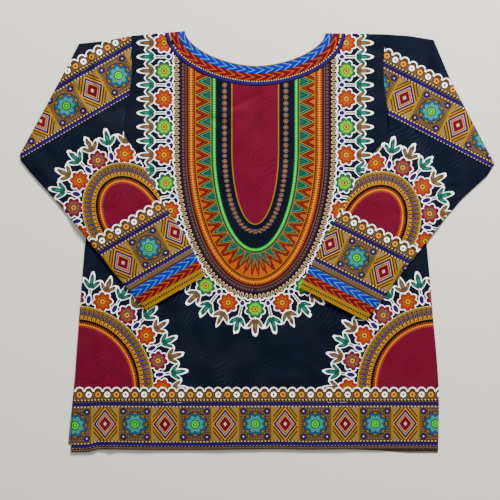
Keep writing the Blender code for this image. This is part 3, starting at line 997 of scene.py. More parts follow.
# The dyes are deeper than they show, because the tone curve of the render lightens them.
NAVY = dye(2, 7, 21)
NAVY_LIGHT = dye(15, 23, 39)
CRIMSON = dye(88, 4, 30)
CRIMSON_DARK = dye(64, 2, 21)
MAROON = dye(33, 2, 10)
DARK_RED = dye(62, 3, 8)
RED = dye(79, 3, 9)
ORANGE = dye(149, 65, 2)
ORANGE_RED = dye(122, 31, 13)
YELLOW = dye(178, 118, 2)
GOLD = dye(124, 91, 2)
TAN = dye(84, 65, 41)
TAN_LIGHT = dye(112, 90, 53)
BROWN = dye(62, 42, 22)
DARK_BROWN = dye(35, 18, 14)
BLACK = dye(4, 2, 6)
PLUM = dye(29, 9, 31)
PURPLE = dye(27, 2, 75)
ROYAL = dye(13, 2, 125)
SKY = dye(9, 124, 159)
SEA = dye(25, 58, 87)
TEAL = dye(42, 111, 100)
LIME = dye(51, 184, 2)
GREEN = dye(10, 68, 51)
DARK_GREEN = dye(2, 41, 34)
LEAF_GREEN = dye(9, 64, 49)
LEAF_BROWN = dye(73, 54, 35)
LILAC = dye(76, 58, 85)
CREAM = dye(181, 156, 103)
ROSE = dye(87, 63, 57)
WHITE = dye(249, 249, 246)

# ------------------------------------------------------------------ working out where each colour goes


def absolute(a):
    return worked("ABSOLUTE", a)


def least(a, b):
    return worked("MINIMUM", a, b)


def over(a, level):
    return worked("GREATER_THAN", a, level)


def under(a, level):
    return worked("LESS_THAN", a, level)


def near(a, level, reach):
    return worked("COMPARE", a, level, reach)


def between(a, low, high):
    return near(a, (low + high) * 0.5, (high - low) * 0.5)


def beat(a, pitch):
    """How far a is from the nearest whole number of pitches."""
    return worked("PINGPONG", a, pitch / 2)


def cell(a, pitch):
    """Where a is in its repeat, from minus half a pitch to half a pitch."""
    return worked("WRAP", a, pitch / 2, -pitch / 2)


def sine(a):
    return worked("SINE", a)


def root(a):
    return worked("SQRT", a)


def reach_of(a, b):
    return root(a * a + b * b)


def turn_of(a, b):
    """The angle of the place that is a up and b along, in radians."""
    return worked("ARCTAN2", a, b)


def rising(a, start, end):
    """0 below start and 1 above end, in a straight line between. printed() holds it to that range."""
    return (a - start) * (1 / (end - start))


Ring = namedtuple("Ring", "colour size")


def nested(cloth, shape, rings, here=None):
    """Colours one inside the other. Each covers the places where the shape's number is under its size."""
    for ring in rings:
        mask = under(shape, ring.size)
        cloth = printed(cloth, ring.colour, mask if here is None else here * mask)
    return cloth


# ------------------------------------------------------------------ the border

# Its rows, each from one level to another. The levels run from its inner edge outwards.
Row = namedtuple("Row", "start end")
BEAD_LINKS = Row(3.4, 10.8)
DOTTED_ROW = Row(10.8, 14.2)
PALE_DOTS = Row(11.2, 12.2)
TAN_DASHES = Row(12.9, 14.0)
INNER_STRIPE = Row(14.3, 17.2)
PANEL = Row(17.2, 54.6)
INNER_DOTS = Row(17.9, 18.9)
PANEL_GROUND = Row(19.2, 52.8)
OUTER_DOTS = Row(53.1, 54.1)
OUTER_STRIPE_RIM = Row(54.6, 58.3)
OUTER_STRIPE = Row(55.0, 57.9)
EDGE_ROWS = Row(58.1, 66.5)

SCALLOPS_END = 3.5  # the level at which the scallops end
BEAD_MIDDLE = 6.4  # the level of the beads' middles
BORDER_BEAD = 9.24  # from one bead to the next
PANEL_MIDDLE = 36.0
PANEL_REPEAT = 60.0  # from one rosette to the next
ROSETTE_HALF = 15.8  # half the width of a rosette's part of the panel
DIAMONDS_HALF = 13.2  # and of the diamonds' part
TEETH_MIDDLE, TEETH_OUT = 36.1, 20.4  # the rows of teeth are this far from that level
DOT = 3.4  # from one dot to the next in the dotted rows
EDGE_DOT = 2.6  # and past the outer stripe
EDGE_LINE, EDGE_LINES_APART, EDGE_DOTS = 58.6, 4.6, 61.2

BORDER_BEAD_RINGS = (Ring(DARK_BROWN, 3.7), Ring(YELLOW, 2.9))
OUTER_DIAMONDS = (Ring(YELLOW, 16.6), Ring(DARK_BROWN, 15.0), Ring(PURPLE, 14.2))
INNER_DIAMONDS = (Ring(YELLOW, 9.4), Ring(CRIMSON, 8.0))
CORNER_TRIANGLES = (Ring(GOLD, 18.8), Ring(DARK_BROWN, 21.4), Ring(TAN_LIGHT, 23.2))  # outside their sizes
ROSETTE_CORNERS = (Ring(DARK_BROWN, 3.3), Ring(PURPLE, 2.6), Ring(CREAM, 0.9))
ROSETTE_RIM = (Ring(DARK_BROWN, 12.4), Ring(GOLD, 11.6))
ROSETTE_PETALS = (Ring(DARK_BROWN, 9.6), Ring(SEA, 8.8), Ring(TEAL, 6.2))
ROSETTE_EYE = (Ring(DARK_BROWN, 4.5), Ring(LIME, 3.6))


@as_group
def bead_row(cloth, u, v):
    """The row of round beads at the border's inner edge, in white scallops."""
    link = cell(u, BORDER_BEAD)
    edge = reach_of(link, v - BEAD_LINKS.start)
    cloth = printed(cloth, WHITE, under(edge, 4.6) * under(v, SCALLOPS_END))
    cloth = printed(cloth, TAN, between(v, *BEAD_LINKS))
    cloth = printed(cloth, BROWN, under(edge, 3.5) * under(v, SCALLOPS_END))
    cloth = printed(cloth, BROWN, near(beat(u + v, 2.3), 0.0, 0.4) * between(v, *BEAD_LINKS))
    bead = reach_of(link, v - BEAD_MIDDLE)
    pale = under(beat(u, 2 * BORDER_BEAD), BORDER_BEAD / 2)
    cloth = nested(cloth, bead, BORDER_BEAD_RINGS)
    cloth = printed(cloth, WHITE, under(bead, BORDER_BEAD_RINGS[-1].size) * pale)
    return printed(cloth, CRIMSON, under(bead, 1.1))


@as_group
def diamond_unit(cloth, off, v, here):
    """Nested diamonds, with a small triangle in each corner."""
    nest = off * 1.28 + absolute(v - PANEL_MIDDLE)
    cloth = printed(cloth, DARK_BROWN, here)
    cloth = nested(cloth, nest, OUTER_DIAMONDS, here)
    cloth = printed(cloth, CREAM, here * near(nest, 11.4, 0.4))
    cloth = nested(cloth, nest, INNER_DIAMONDS, here)
    cloth = printed(cloth, BLACK, here * near(nest, 5.4, 0.35))
    cloth = printed(cloth, CREAM, here * under(nest, 2.3))
    for triangle in CORNER_TRIANGLES:
        cloth = printed(cloth, triangle.colour, here * over(nest, triangle.size))
    return printed(cloth, GOLD, here * over(off, 12.0))


@as_group
def rosette_unit(cloth, off, v, here):
    """One round blue rosette on tan."""
    level = v - PANEL_MIDDLE
    out = reach_of(off, level)
    petals = out - absolute(sine(turn_of(level, off) * 4.0)) * 2.6
    cloth = printed(cloth, TAN, here)
    cloth = printed(cloth, DARK_BROWN, here * under(beat(off, 2.6) + beat(v, 2.6), 0.9))
    corner = reach_of(off - 11.8, absolute(level) - 12.8)
    cloth = nested(cloth, corner, ROSETTE_CORNERS, here)
    cloth = nested(cloth, out, ROSETTE_RIM, here)
    cloth = nested(cloth, petals, ROSETTE_PETALS, here)
    cloth = nested(cloth, out, ROSETTE_EYE, here)
    return printed(cloth, DARK_GREEN, here * near(out, 1.8, 0.45))


@as_group
def border_panel(cloth, u, v, here):
    """Rosettes and nested diamonds in turn between the two purple stripes."""
    along = absolute(cell(u, PANEL_REPEAT))
    far = PANEL_REPEAT / 2 - along
    cloth = printed(cloth, DARK_BROWN, here * between(v, *PANEL))
    inner = here * between(v, *PANEL_GROUND)
    cloth = printed(cloth, GOLD, inner)
    cloth = rosette_unit(cloth, along, v, inner * under(along, ROSETTE_HALF))
    return diamond_unit(cloth, far, v, inner * under(far, DIAMONDS_HALF))


@as_group
def border_stripes(cloth, u, v, here):
    """The dotted rows and the two purple stripes."""
    dots = under(beat(u, DOT), 0.9)
    cloth = printed(cloth, BLACK, here * between(v, *DOTTED_ROW))
    cloth = printed(cloth, CREAM, here * dots * between(v, *PALE_DOTS))
    cloth = printed(cloth, TAN, here * over(beat(u + 1, DOT), 0.6) * between(v, *TAN_DASHES))
    cloth = printed(cloth, PURPLE, here * between(v, *INNER_STRIPE))
    teeth = under(beat(u, DOT), 0.8)
    cloth = printed(cloth, BLACK, here * teeth * near(absolute(v - TEETH_MIDDLE), TEETH_OUT, 0.5))
    cloth = printed(cloth, CREAM, here * dots * between(v, *INNER_DOTS))
    cloth = printed(cloth, CREAM, here * dots * between(v, *OUTER_DOTS))
    cloth = printed(cloth, BLACK, here * between(v, *OUTER_STRIPE_RIM))
    cloth = printed(cloth, PURPLE, here * between(v, *OUTER_STRIPE))
    return printed(cloth, CREAM, here * (1 - dots) * near(v, EDGE_ROWS.start, 0.3))


def border_edge(cloth, u, v, here):
    """The dotted tan rows past the second purple stripe."""
    cloth = printed(cloth, TAN, here * between(v, *EDGE_ROWS))
    cloth = printed(cloth, BLACK, here * near(beat(v - EDGE_LINE, EDGE_LINES_APART), 0.0, 0.5))
    dots = under(beat(u, EDGE_DOT), 0.75) * near(v, EDGE_DOTS, 0.9)
    return printed(cloth, BLACK, here * dots)


def border(cloth, u, v):
    here = over(v, 1.5)
    cloth = border_panel(cloth, u, v, here)
    cloth = bead_row(cloth, u, v)
    return border_stripes(cloth, u, v, here)


# ------------------------------------------------------------------ the flowers, and what stands on them

EGG = 5.9  # from one egg to the next, as it is drawn
EGGS_A_FLOWER = 5.0
EGG_MIDDLE = 11.6  # how far outside a dome's comb the eggs' middles are
SPRIG_OUT = 10.0  # how far outside the flowers' line the sprigs start
CRACKLE = 3.3  # from one line of the ground's crackle to the next

BUD = (Ring(WHITE, 3.1), Ring(DARK_BROWN, 2.3), Ring(PURPLE, 1.8))
FLOWER_RIM = (Ring(WHITE, 8.7), Ring(DARK_BROWN, 7.5))
PETALS = 6.9  # how far out a flower's coloured petals reach where two of them meet
FLOWER_EYE = (Ring(DARK_BROWN, 3.3), Ring(YELLOW, 2.6), Ring(DARK_RED, 1.0))
EGG_RINGS = (Ring(DARK_BROWN, 0.93), Ring(LILAC, 0.70), Ring(PURPLE, 0.42))


@as_group
def sprig(cloth, run, gap, spread, here):
    """Three pointed leaves on every flower and bud: brown on the one, green on the other."""
    t = absolute(cell(run, 0.5)) * spread
    v = gap - SPRIG_OUT
    middle = reach_of(t * 0.50, (v - 7.5) * 0.15)
    along = t * 0.60 + v * 0.80
    across = t * 0.80 - v * 0.60
    side = reach_of((along - 5.6) * 0.20, (across - 0.6) * 0.60)
    shape = least(middle, side)
    cloth = printed(cloth, WHITE, here * under(shape, 1.5))
    inside = here * under(shape, 1.1)
    brown = under(beat(run, 1.0), 0.25)
    cloth = printed(cloth, LEAF_GREEN, inside)
    cloth = printed(cloth, LEAF_BROWN, inside * brown)
    light = inside * under(shape, 0.45) * 0.6
    cloth = printed(cloth, TEAL, light * (1 - brown))
    return printed(cloth, TAN_LIGHT, light * brown)


@as_group
def bud_and_stem(cloth, run, gap, spread, by_dome, here):
    """A purple bud half way between two flowers, with its stem outwards."""
    off = absolute(cell(run + 0.5, 1.0)) * spread
    bud_gap = gap + 4.5 - by_dome * 3.0
    stem = here * between(bud_gap, 0.0, 13.5 - by_dome * 3.0)
    cloth = printed(cloth, WHITE, under(off, 1.4) * stem)
    cloth = printed(cloth, LEAF_GREEN, under(off, 0.7) * stem)
    bud = reach_of(off, bud_gap * (0.9 - by_dome * 0.35))
    return nested(cloth, bud, BUD, here)


@as_group
def flower(cloth, along, gap, by_dome, even, here):
    """A round flower of eight petals with a yellow eye. along is how far from its middle, either way."""
    out = reach_of(along, gap)
    lobes = absolute(sine(turn_of(gap, along) * 4.0))
    petals = out - lobes * 2.4
    cloth = nested(cloth, petals, FLOWER_RIM, here)
    petal = here * under(petals, PETALS)
    green = even * (1 - by_dome)
    red = even * by_dome
    cloth = printed(cloth, ORANGE_RED, petal)
    cloth = printed(cloth, GREEN, petal * green)
    cloth = printed(cloth, CRIMSON, petal * red)
    glow = petal * rising(out, 7.0, 4.0)
    cloth = printed(cloth, ORANGE, glow)
    cloth = printed(cloth, LIME, glow * green)
    cloth = printed(cloth, ROSE, glow * red)
    cloth = printed(cloth, DARK_BROWN, petal * under(lobes, 0.16))
    return nested(cloth, out, FLOWER_EYE, here)


def flower_row(cloth, run, gap, spread, by_dome, here):
    """Flowers at the whole numbers of run, buds at the halves, and a sprig on every one of them.

    by_dome is 1 where the row goes round a dome and 0 where it goes round the bib."""
    cloth = sprig(cloth, run, gap, spread, here)
    cloth = bud_and_stem(cloth, run, gap, spread, by_dome, here)
    along = absolute(cell(run, 1.0)) * spread
    even = under(beat(run, 2.0), 0.5)
    return flower(cloth, along, gap, by_dome, even, here)


@as_group
def dome(cloth, gap, eggs, x, y):
    """A crimson half-round with an orange comb round it and a ring of golden eggs."""
    egg = cell(eggs, 1.0) * EGG
    narrow = rising(gap, 2.0, 12.0)
    egg_at = reach_of(egg * (0.86 - narrow * 0.36), (gap - EGG_MIDDLE) * 0.20)
    cloth = printed(cloth, CREAM, between(gap, 4.5, 18.5) * under(egg_at, 1.52))
    cloth = printed(cloth, BLACK, under(gap, 18.0) * under(egg_at, 1.38))
    cloth = printed(cloth, BLACK, under(gap, 13.5))
    cloth = printed(cloth, GOLD, between(gap, 5.0, 18.0) * near(egg_at, 1.08, 0.15))
    cloth = printed(cloth, YELLOW, between(gap, 5.0, 9.0) * over(egg_at, 1.3))
    cloth = nested(cloth, egg_at, EGG_RINGS)
    teeth = under(beat(egg, EGG / 2), 0.6) * between(gap, 5.0, 7.4)
    cloth = printed(cloth, DARK_BROWN, teeth)
    cloth = printed(cloth, MAROON, under(gap, 3.8))
    cloth = printed(cloth, BLACK, between(gap, 3.4, 5.0))
    cloth = printed(cloth, CRIMSON, under(gap, 0.0))
    cloth = crackled(cloth, x, y, under(gap, -3.0), CRIMSON_DARK)
    tick = under(beat(egg, EGG / 2), 0.55) * under(absolute(gap), 2.5)
    cloth = printed(cloth, ORANGE, tick)
    cloth = printed(cloth, ORANGE, under(absolute(gap), 0.85))
    return printed(cloth, YELLOW, under(absolute(gap), 0.4))


@as_group
def crackled(cloth, x, y, here, colour):
    """The fine broken lines that the dyeing leaves in a plain ground."""
    drift = grain(x, y, 9.0, 3.0) * 5.0 + grain(x, y, 60.0, 5.0) * 30.0
    line = beat(x * 0.62 + y * 0.78 + drift, CRACKLE)
    patches = rising(grain(x, y, 18.0, 9.0), 0.25, 0.6)
    return printed(cloth, colour, here * rising(line, 1.1, 0.2) * patches * 0.5)


# ------------------------------------------------------------------ the bib on the chest

SCALLOP = 1.5 * BEAD  # from one scallop of its white edge to the next
TRIANGLE = 3 * BEAD  # from one triangle to the next of its colour
TRIANGLES_START, TRIANGLES_END = 3.6, 18.0  # outside the green rim
BIB_TICK = 2.4  # from one tick on a rim to the next
BIB_RING = 6.0  # from one small ring to the next
RINGS_OUT = 7.6  # and how far outside the crimson rim they are
DOTS_OUT = 8.0  # how far outside the orange rim the dots are


def bib(cloth, read, x, y):
    gap_orange, gap_green, gap_crimson = read("bib")
    run = read("dome")[2] * BEAD
    bead_at = reach_of(cell(run, BEAD) * 0.56, (gap_orange - BEADS_OUT) * 0.36)
    cloth = printed(cloth, BLACK, under(gap_orange, 18.0))
    cloth = printed(cloth, ROSE, under(bead_at, 1.0))
    cloth = printed(cloth, CREAM, near(bead_at, 0.8, 0.14))
    cloth = printed(cloth, WHITE, near(gap_orange + beat(run, SCALLOP) * 0.5, 18.6, 0.6))
    cloth = printed(cloth, PLUM, under(gap_orange, 11.2))
    dots = reach_of(cell(run, BEAD / 1.3), gap_orange - DOTS_OUT)
    cloth = printed(cloth, TAN, under(dots, 1.2))
    cloth = printed(cloth, PLUM, under(dots, 0.5))
    cloth = printed(cloth, TAN, near(gap_orange, 5.2, 0.4))
    cloth = printed(cloth, DARK_RED, under(gap_orange, 4.3))
    tick = under(beat(run, BIB_TICK), 0.72)
    cloth = printed(cloth, ORANGE, tick * under(absolute(gap_orange), 2.7))
    cloth = printed(cloth, ORANGE, under(absolute(gap_orange), 0.7))
    cloth = printed(cloth, YELLOW, tick * under(absolute(gap_orange), 1.1))
    cloth = printed(cloth, GOLD, under(gap_orange, -3.9))
    cloth = bib_triangles(cloth, run, gap_green, under(gap_orange, -4.8))
    cloth = printed(cloth, GOLD, under(gap_green, 3.6))
    cloth = printed(cloth, DARK_GREEN, under(gap_green, 2.9))
    cloth = printed(cloth, GREEN, under(absolute(gap_green), 1.7))
    cloth = printed(cloth, LIME, tick * under(absolute(gap_green), 1.2))
    cloth = printed(cloth, LIME, under(absolute(gap_green), 0.45))
    cloth = printed(cloth, NAVY, under(gap_green, -2.2))
    ring = reach_of(cell(run, BIB_RING), gap_crimson - RINGS_OUT)
    rings = under(gap_green, -2.6)
    cloth = printed(cloth, ROSE, rings * under(ring, 2.5) * over(ring, 1.2))
    cloth = printed(cloth, YELLOW, rings * under(ring, 0.7))
    cloth = printed(cloth, GOLD, under(gap_crimson, 0.9))
    cloth = printed(cloth, CRIMSON, under(gap_crimson, -0.2))
    return crackled(cloth, x, y, under(gap_crimson, -1.0), CRIMSON_DARK)


@as_group
def bib_triangles(cloth, run, gap, here):
    """A ring of green and red triangles that point in and out in turn, between zigzags of gold thread."""
    share = rising(gap, TRIANGLES_START, TRIANGLES_END)
    place = beat(run, TRIANGLE) * (2 / TRIANGLE)
    zigzag = place - share
    cloth = printed(cloth, DARK_GREEN, here)
    cloth = printed(cloth, DARK_RED, here * under(zigzag, 0.0))
    cloth = printed(cloth, TEAL, here * near(zigzag, 0.32, 0.06))
    cloth = printed(cloth, GREEN, here * over(zigzag, 0.55))
    cloth = printed(cloth, ORANGE_RED, here * near(zigzag, -0.32, 0.06))
    cloth = printed(cloth, ORANGE, here * under(zigzag, -0.6))
    return printed(cloth, GOLD, here * near(zigzag, 0.0, 0.08))


# The collar's rows, by how far they are from the neckline
COLLAR = 20.5  # how deep it is
COLLAR_STRIPE = Row(16.6, 19.4)
COLLAR_DOTS = 15.8
COLLAR_RED, COLLAR_BLUE = 11.4, 4.4  # the middles of its rows of chevrons
CHEVRON = 9.0  # from one chevron to the next
CHEVRON_SLANT = 2.4


@as_group
def collar(cloth, run, gap):
    """The bands that follow the neckline."""
    cloth = printed(cloth, BLACK, under(gap, COLLAR))
    cloth = printed(cloth, PURPLE, between(gap, *COLLAR_STRIPE))
    cloth = printed(cloth, CREAM, under(beat(run, 2.1), 0.5) * near(gap, COLLAR_DOTS, 0.5))
    red, blue = gap - COLLAR_RED, gap - COLLAR_BLUE
    cloth = chevron_row(cloth, run, red, under(absolute(red), 3.4), RED, ORANGE)
    cloth = chevron_row(cloth, run, blue, under(absolute(blue), 3.2), ROYAL, SKY)
    return printed(cloth, GOLD, under(gap, 0.9))


@as_group
def chevron_row(cloth, run, v, here, ground, mark):
    """A row of one colour with pointed marks of another. v is how far the place is from its middle."""
    cloth = printed(cloth, ground, here)
    point = beat(run + absolute(v) * CHEVRON_SLANT, CHEVRON)
    return printed(cloth, mark, here * under(point, 1.0))


# ------------------------------------------------------------------ the prints of the pieces


def ground_print(read, x, y):
    """What the whole body has: the crackled ground, the rows of flowers, and the domes."""
    run, gap, spread = read("flowers")
    by_dome = read("neck")[0]
    dome_gap, dome_run, _ = read("dome")
    cloth = crackled(NAVY, x, y, 1.0, NAVY_LIGHT)
    cloth = flower_row(cloth, run, gap, spread, by_dome, over(spread, 0.0))
    return dome(cloth, dome_gap, dome_run * EGGS_A_FLOWER, x, y)


def body_print(read):
    x, y, _ = read("place")
    cloth = bib(ground_print(read, x, y), read, x, y)
    _, neck_gap, neck_run = read("neck")
    return collar(cloth, neck_run, neck_gap)


def hem_print(read):
    x, y, v = read("place")
    u = x - AXIS_X
    cloth = border(ground_print(read, x, y), u, v)
    return border_edge(cloth, u, v, over(v, EDGE_ROWS.start))


def sleeve_print(read):
    x, y, _ = read("place")
    u, v, _ = read("cuff")
    gap, run, spread = read("dome")
    cloth = crackled(NAVY, x, y, 1.0, NAVY_LIGHT)
    cloth = flower_row(cloth, run, gap - FLOWERS_OUT, spread, 1.0, over(spread, 0.0))
    cloth = dome(cloth, gap, run * EGGS_A_FLOWER, x, y)
    cloth = border(cloth, u, v)
    cloth = border(cloth, u, v + (ARM_BORDER - CUFF_BORDER))
    return cuff_edge(cloth, u, v, over(v, EDGE_ROWS.start))


# The rows past a cuff's second purple stripe, by their levels
CUFF_LINE = 63.0
CUFF_BLUE, CUFF_RED = 68.0, 76.0
CUFF_ROW = 3.8  # half the width of a row of chevrons
CUFF_GOLD = 80.2  # where the gold edge starts
CUFF_DOTS = 84.0


@as_group
def cuff_edge(cloth, u, v, here):
    """Past the second purple stripe: a blue and a red row of chevrons between tan ones, to the edge."""
    cloth = printed(cloth, TAN, here)
    cloth = printed(cloth, BLACK, here * near(v, CUFF_LINE, 0.5))
    blue, red = v - CUFF_BLUE, v - CUFF_RED
    cloth = chevron_row(cloth, u, blue, here * under(absolute(blue), CUFF_ROW), ROYAL, SKY)
    cloth = chevron_row(cloth, u, red, here * under(absolute(red), CUFF_ROW), RED, ORANGE)
    cloth = printed(cloth, GOLD, here * over(v, CUFF_GOLD))
    dots = under(beat(u, EDGE_DOT), 0.75) * near(v, CUFF_DOTS, 0.9)
    return printed(cloth, BLACK, here * dots)


# ------------------------------------------------------------------ the cotton

THREAD = 0.30  # from one thread to the next, in steps of the grid
FADED = dye(84, 76, 80)  # what the print fades towards on the wrong side of the cloth
WRONG_SIDE_FADE = 0.45
WEAR = 34.0  # how wide the patches are that wear has faded slightly
FULL_TURN = 6.2832  # radians


def cotton(name, draw):
    """Plain-woven printed cotton. draw(read) draws the print, and read(name) reads a field of the mesh."""
    made = bpy.data.materials.new(name)
    made.use_nodes = True
    tree = made.node_tree
    shader = tree.nodes["Principled BSDF"]

    def read(field):
        attribute = tree.nodes.new("ShaderNodeAttribute")
        attribute.attribute_name = field
        split = tree.nodes.new("ShaderNodeSeparateXYZ")
        tree.links.new(attribute.outputs["Vector"], split.inputs[0])
        return tuple(Value(output) for output in split.outputs)

    colour = draw(read)
    side = tree.nodes.new("ShaderNodeAttribute")
    side.attribute_name = "wrong_side"
    colour = printed(colour, FADED, Value(side.outputs["Fac"]) * WRONG_SIDE_FADE)
    x, y, _ = read("place")
    wear = grain(x, y, WEAR, 13.0)
    colour = printed(colour, FADED, rising(wear, 0.45, 1.0) * 0.04)
    tree.links.new(colour, shader.inputs["Base Color"])
    turn = FULL_TURN / THREAD
    weave = sine(x * turn) * sine(y * turn)
    slub = grain(x, y, 1.1, 17.0)
    bump = tree.nodes.new("ShaderNodeBump")
    bump.inputs["Strength"].default_value = 0.35
    bump.inputs["Distance"].default_value = 0.0002
    joined(tree, bump.inputs["Height"], weave * 0.5 + slub)
    tree.links.new(bump.outputs[0], shader.inputs["Normal"])
    shader.inputs["Roughness"].default_value = 0.82
    shader.inputs["Specular IOR Level"].default_value = 0.06
    shader.inputs["Sheen Weight"].default_value = 0.015
    shader.inputs["Sheen Roughness"].default_value = 0.45
    return made


# ------------------------------------------------------------------ the sewing

STITCH = 0.0026  # length of one stitch
STITCH_STEP = 0.0034  # from the start of one to the start of the next
THREAD_WIDE = 0.00046
STITCH_ARCH = 0.00008  # how far the middle of a stitch stands up from its ends
STITCH_SUNK = 0.00013  # how far its middle is below the face of the cloth
NECK_ROW_IN = 0.006  # the rows' distances from the edges they hold
VENT_ROW_IN = 0.008
ROW_POINTS = 260  # places along a row where the cloth's height is taken
STITCH_ROUND = 0.2  # bevel of a stitch's edges, as a share of its width
NECK_END = 0.0001  # how far in from the neckline's two ends its row starts
CUFF_END = 0.03  # and a cuff's row from its folds, as a share of the width
THREAD_DARK = dye(10, 6, 10)
THREAD_LIGHT = dye(36, 28, 34)


def deselect_all():
    for other in bpy.context.scene.objects:
        other.select_set(False)


def from_lowest(face):
    """The same face with its lowest corner first, because a bevel starts its faces anywhere."""
    start = face.index(min(face))
    return face[start:] + face[:start]


def one_stitch():
    """The points and faces of a stitch along X, with rounded ends and a slight arch."""
    deselect_all()
    bpy.ops.mesh.primitive_cylinder_add(
        vertices=6, radius=THREAD_WIDE / 2, depth=STITCH, rotation=(0, math.pi / 2, 0)
    )
    made = bpy.context.object
    bpy.ops.object.transform_apply(location=False, rotation=True, scale=False)
    bpy.ops.object.mode_set(mode="EDIT")
    bpy.ops.mesh.select_mode(type="VERT")
    bpy.ops.mesh.select_all(action="SELECT")
    bpy.ops.mesh.bevel(offset=THREAD_WIDE * STITCH_ROUND, segments=1, affect="EDGES")
    bpy.ops.mesh.select_all(action="SELECT")
    bpy.ops.mesh.bisect(plane_co=(0, 0, 0), plane_no=(1, 0, 0))
    bpy.ops.transform.translate(value=(0, 0, STITCH_ARCH))
    bpy.ops.mesh.select_all(action="SELECT")
    bpy.ops.mesh.normals_make_consistent(inside=False)
    bpy.ops.object.mode_set(mode="OBJECT")
    points = np.array([vertex.co[:] for vertex in made.data.vertices])
    faces = sorted(from_lowest(tuple(face.vertices)) for face in made.data.polygons)
    bpy.data.objects.remove(made)
    return points, faces


STITCH_SHAPE = one_stitch()


def sewing_thread(name):
    """Twisted cotton thread."""
    made = bpy.data.materials.new(name)
    made.use_nodes = True
    tree = made.node_tree
    shader = tree.nodes["Principled BSDF"]
    place = tree.nodes.new("ShaderNodeTexCoord")
    twist = tree.nodes.new("ShaderNodeTexWave")
    twist.bands_direction = "DIAGONAL"
    twist.inputs["Scale"].default_value = 900.0
    tree.links.new(place.outputs["Object"], twist.inputs["Vector"])
    shade = tree.nodes.new("ShaderNodeMix")
    shade.data_type = "RGBA"
    shade.inputs[MIX_FIRST].default_value = THREAD_DARK
    shade.inputs[MIX_SECOND].default_value = THREAD_LIGHT
    tree.links.new(twist.outputs["Fac"], shade.inputs[0])
    tree.links.new(shade.outputs[MIX_COLOUR], shader.inputs["Base Color"])
    bump = tree.nodes.new("ShaderNodeBump")
    bump.inputs["Strength"].default_value = 0.5
    bump.inputs["Distance"].default_value = 0.0001
    tree.links.new(twist.outputs["Fac"], bump.inputs["Height"])
    tree.links.new(bump.outputs[0], shader.inputs["Normal"])
    shader.inputs["Roughness"].default_value = 0.6
    return made


def stitch_row(line, up):
    """A frame for each stitch of a row: where it is, which way it runs and which way is out of the cloth."""
    line = np.array([tuple(point) for point in line])
    lengths = np.concatenate([[0.0], np.cumsum(np.linalg.norm(np.diff(line, axis=0), axis=1))])
    count = int(lengths[-1] / STITCH_STEP)
    frames = []
    for i in range(count):
        near, far = (i * STITCH_STEP + end for end in (0.0, STITCH))
        start, end = (
            np.array([np.interp(at, lengths, line[:, axis]) for axis in range(3)]) for at in (near, far)
        )
        run = (end - start) / np.linalg.norm(end - start)
        side = np.cross((0.0, 0.0, up), run)
        side /= np.linalg.norm(side)
        frames.append(((start + end) / 2, run, side, np.cross(run, side)))
    return frames


def sewn(name, rows, material):
    """A piece that holds every stitch of these rows. Each stitch is a copy of the one that was modelled."""
    stitch_points, stitch_faces = STITCH_SHAPE
    points, faces = [], []
    for line, up in rows:
        for middle, run, side, out in stitch_row(line, up):
            first = len(points) * len(stitch_points)
            points.append(middle - out * STITCH_SUNK + stitch_points @ np.array([run, side, out]))
            faces += [tuple(first + index for index in face) for face in stitch_faces]
    mesh = bpy.data.meshes.new(name)
    mesh.from_pydata(np.concatenate(points).tolist(), [], faces)
    mesh.shade_smooth()
    mesh.materials.append(material)
    made = bpy.data.objects.new(name, mesh)
    bpy.context.scene.collection.objects.link(made)
    return made


def hem_row(hem, heights, up):
    """Along a hem, on the cloth's printed side."""
    ends = (body_edge(HEM_Y, -1) + VENT_ROW_IN, body_edge(HEM_Y, 1) - VENT_ROW_IN)
    line = []
    for i in range(ROW_POINTS):
        x = mix(*ends, i / (ROW_POINTS - 1))
        y = along_hem(hem, x) + TURN_IN
        line.append((x, y, heights(x, y)[0]))
    return line, up


def vent_row(heights, edge, up):
    """Up beside a vent."""
    line = []
    for i in range(ROW_POINTS):
        y = mix(HEM_Y + TURN_IN, VENT_TOP_Y, i / (ROW_POINTS - 1))
        x = body_edge(y, edge) - edge * VENT_ROW_IN
        line.append((x, y, heights(x, y)[0]))
    return line, up


def neck_row(heights, up):
    """Round the neckline, just inside its edge."""
    ends = (NECK_LEFT.x + NECK_END, NECK_RIGHT.x - NECK_END)
    edge = [mix(*ends, i / ROW_POINTS) for i in range(ROW_POINTS + 1)]
    line = []
    for before, after in zip(edge, edge[1:]):
        run = Vector((after - before, top_y(after) - top_y(before))).normalized()
        x = (before + after) / 2 + run.y * NECK_ROW_IN
        y = top_y((before + after) / 2) - run.x * NECK_ROW_IN
        line.append((x, y, heights(x, y)[0]))
    return line, up


def body_sewing(name, hem, heights, up):
    """The hem, the neckline and the two vents of the front or the back."""
    rows = [hem_row(hem, heights, up), neck_row(heights, up)]
    rows += [vent_row(heights, edge, up) for edge in (-1, 1)]
    return sewn(name, rows, thread)


def cuff_sewing(name, rings):
    """Both runs of a cuff, two rings in from its end."""
    ring = rings[-3]
    shares = [mix(CUFF_END, 1 - CUFF_END, i / ROW_POINTS) for i in range(ROW_POINTS + 1)]
    upper = [ring.upper(share, 0.0) for share in shares]
    lower = [ring.lower(share, 0.0) for share in shares]
    return sewn(name, [(upper, 1), (lower, -1)], thread)


# ------------------------------------------------------------------ the floor

FLOOR_HALF = 6
FLOOR_DROP = 0.0002  # how far the floor is below the shirt
FLOOR_PAINT = dye(206, 200, 190)
FLOOR_CORNERS = [(-FLOOR_HALF, -FLOOR_HALF, 0), (FLOOR_HALF, -FLOOR_HALF, 0)]
FLOOR_CORNERS += [(FLOOR_HALF, FLOOR_HALF, 0), (-FLOOR_HALF, FLOOR_HALF, 0)]

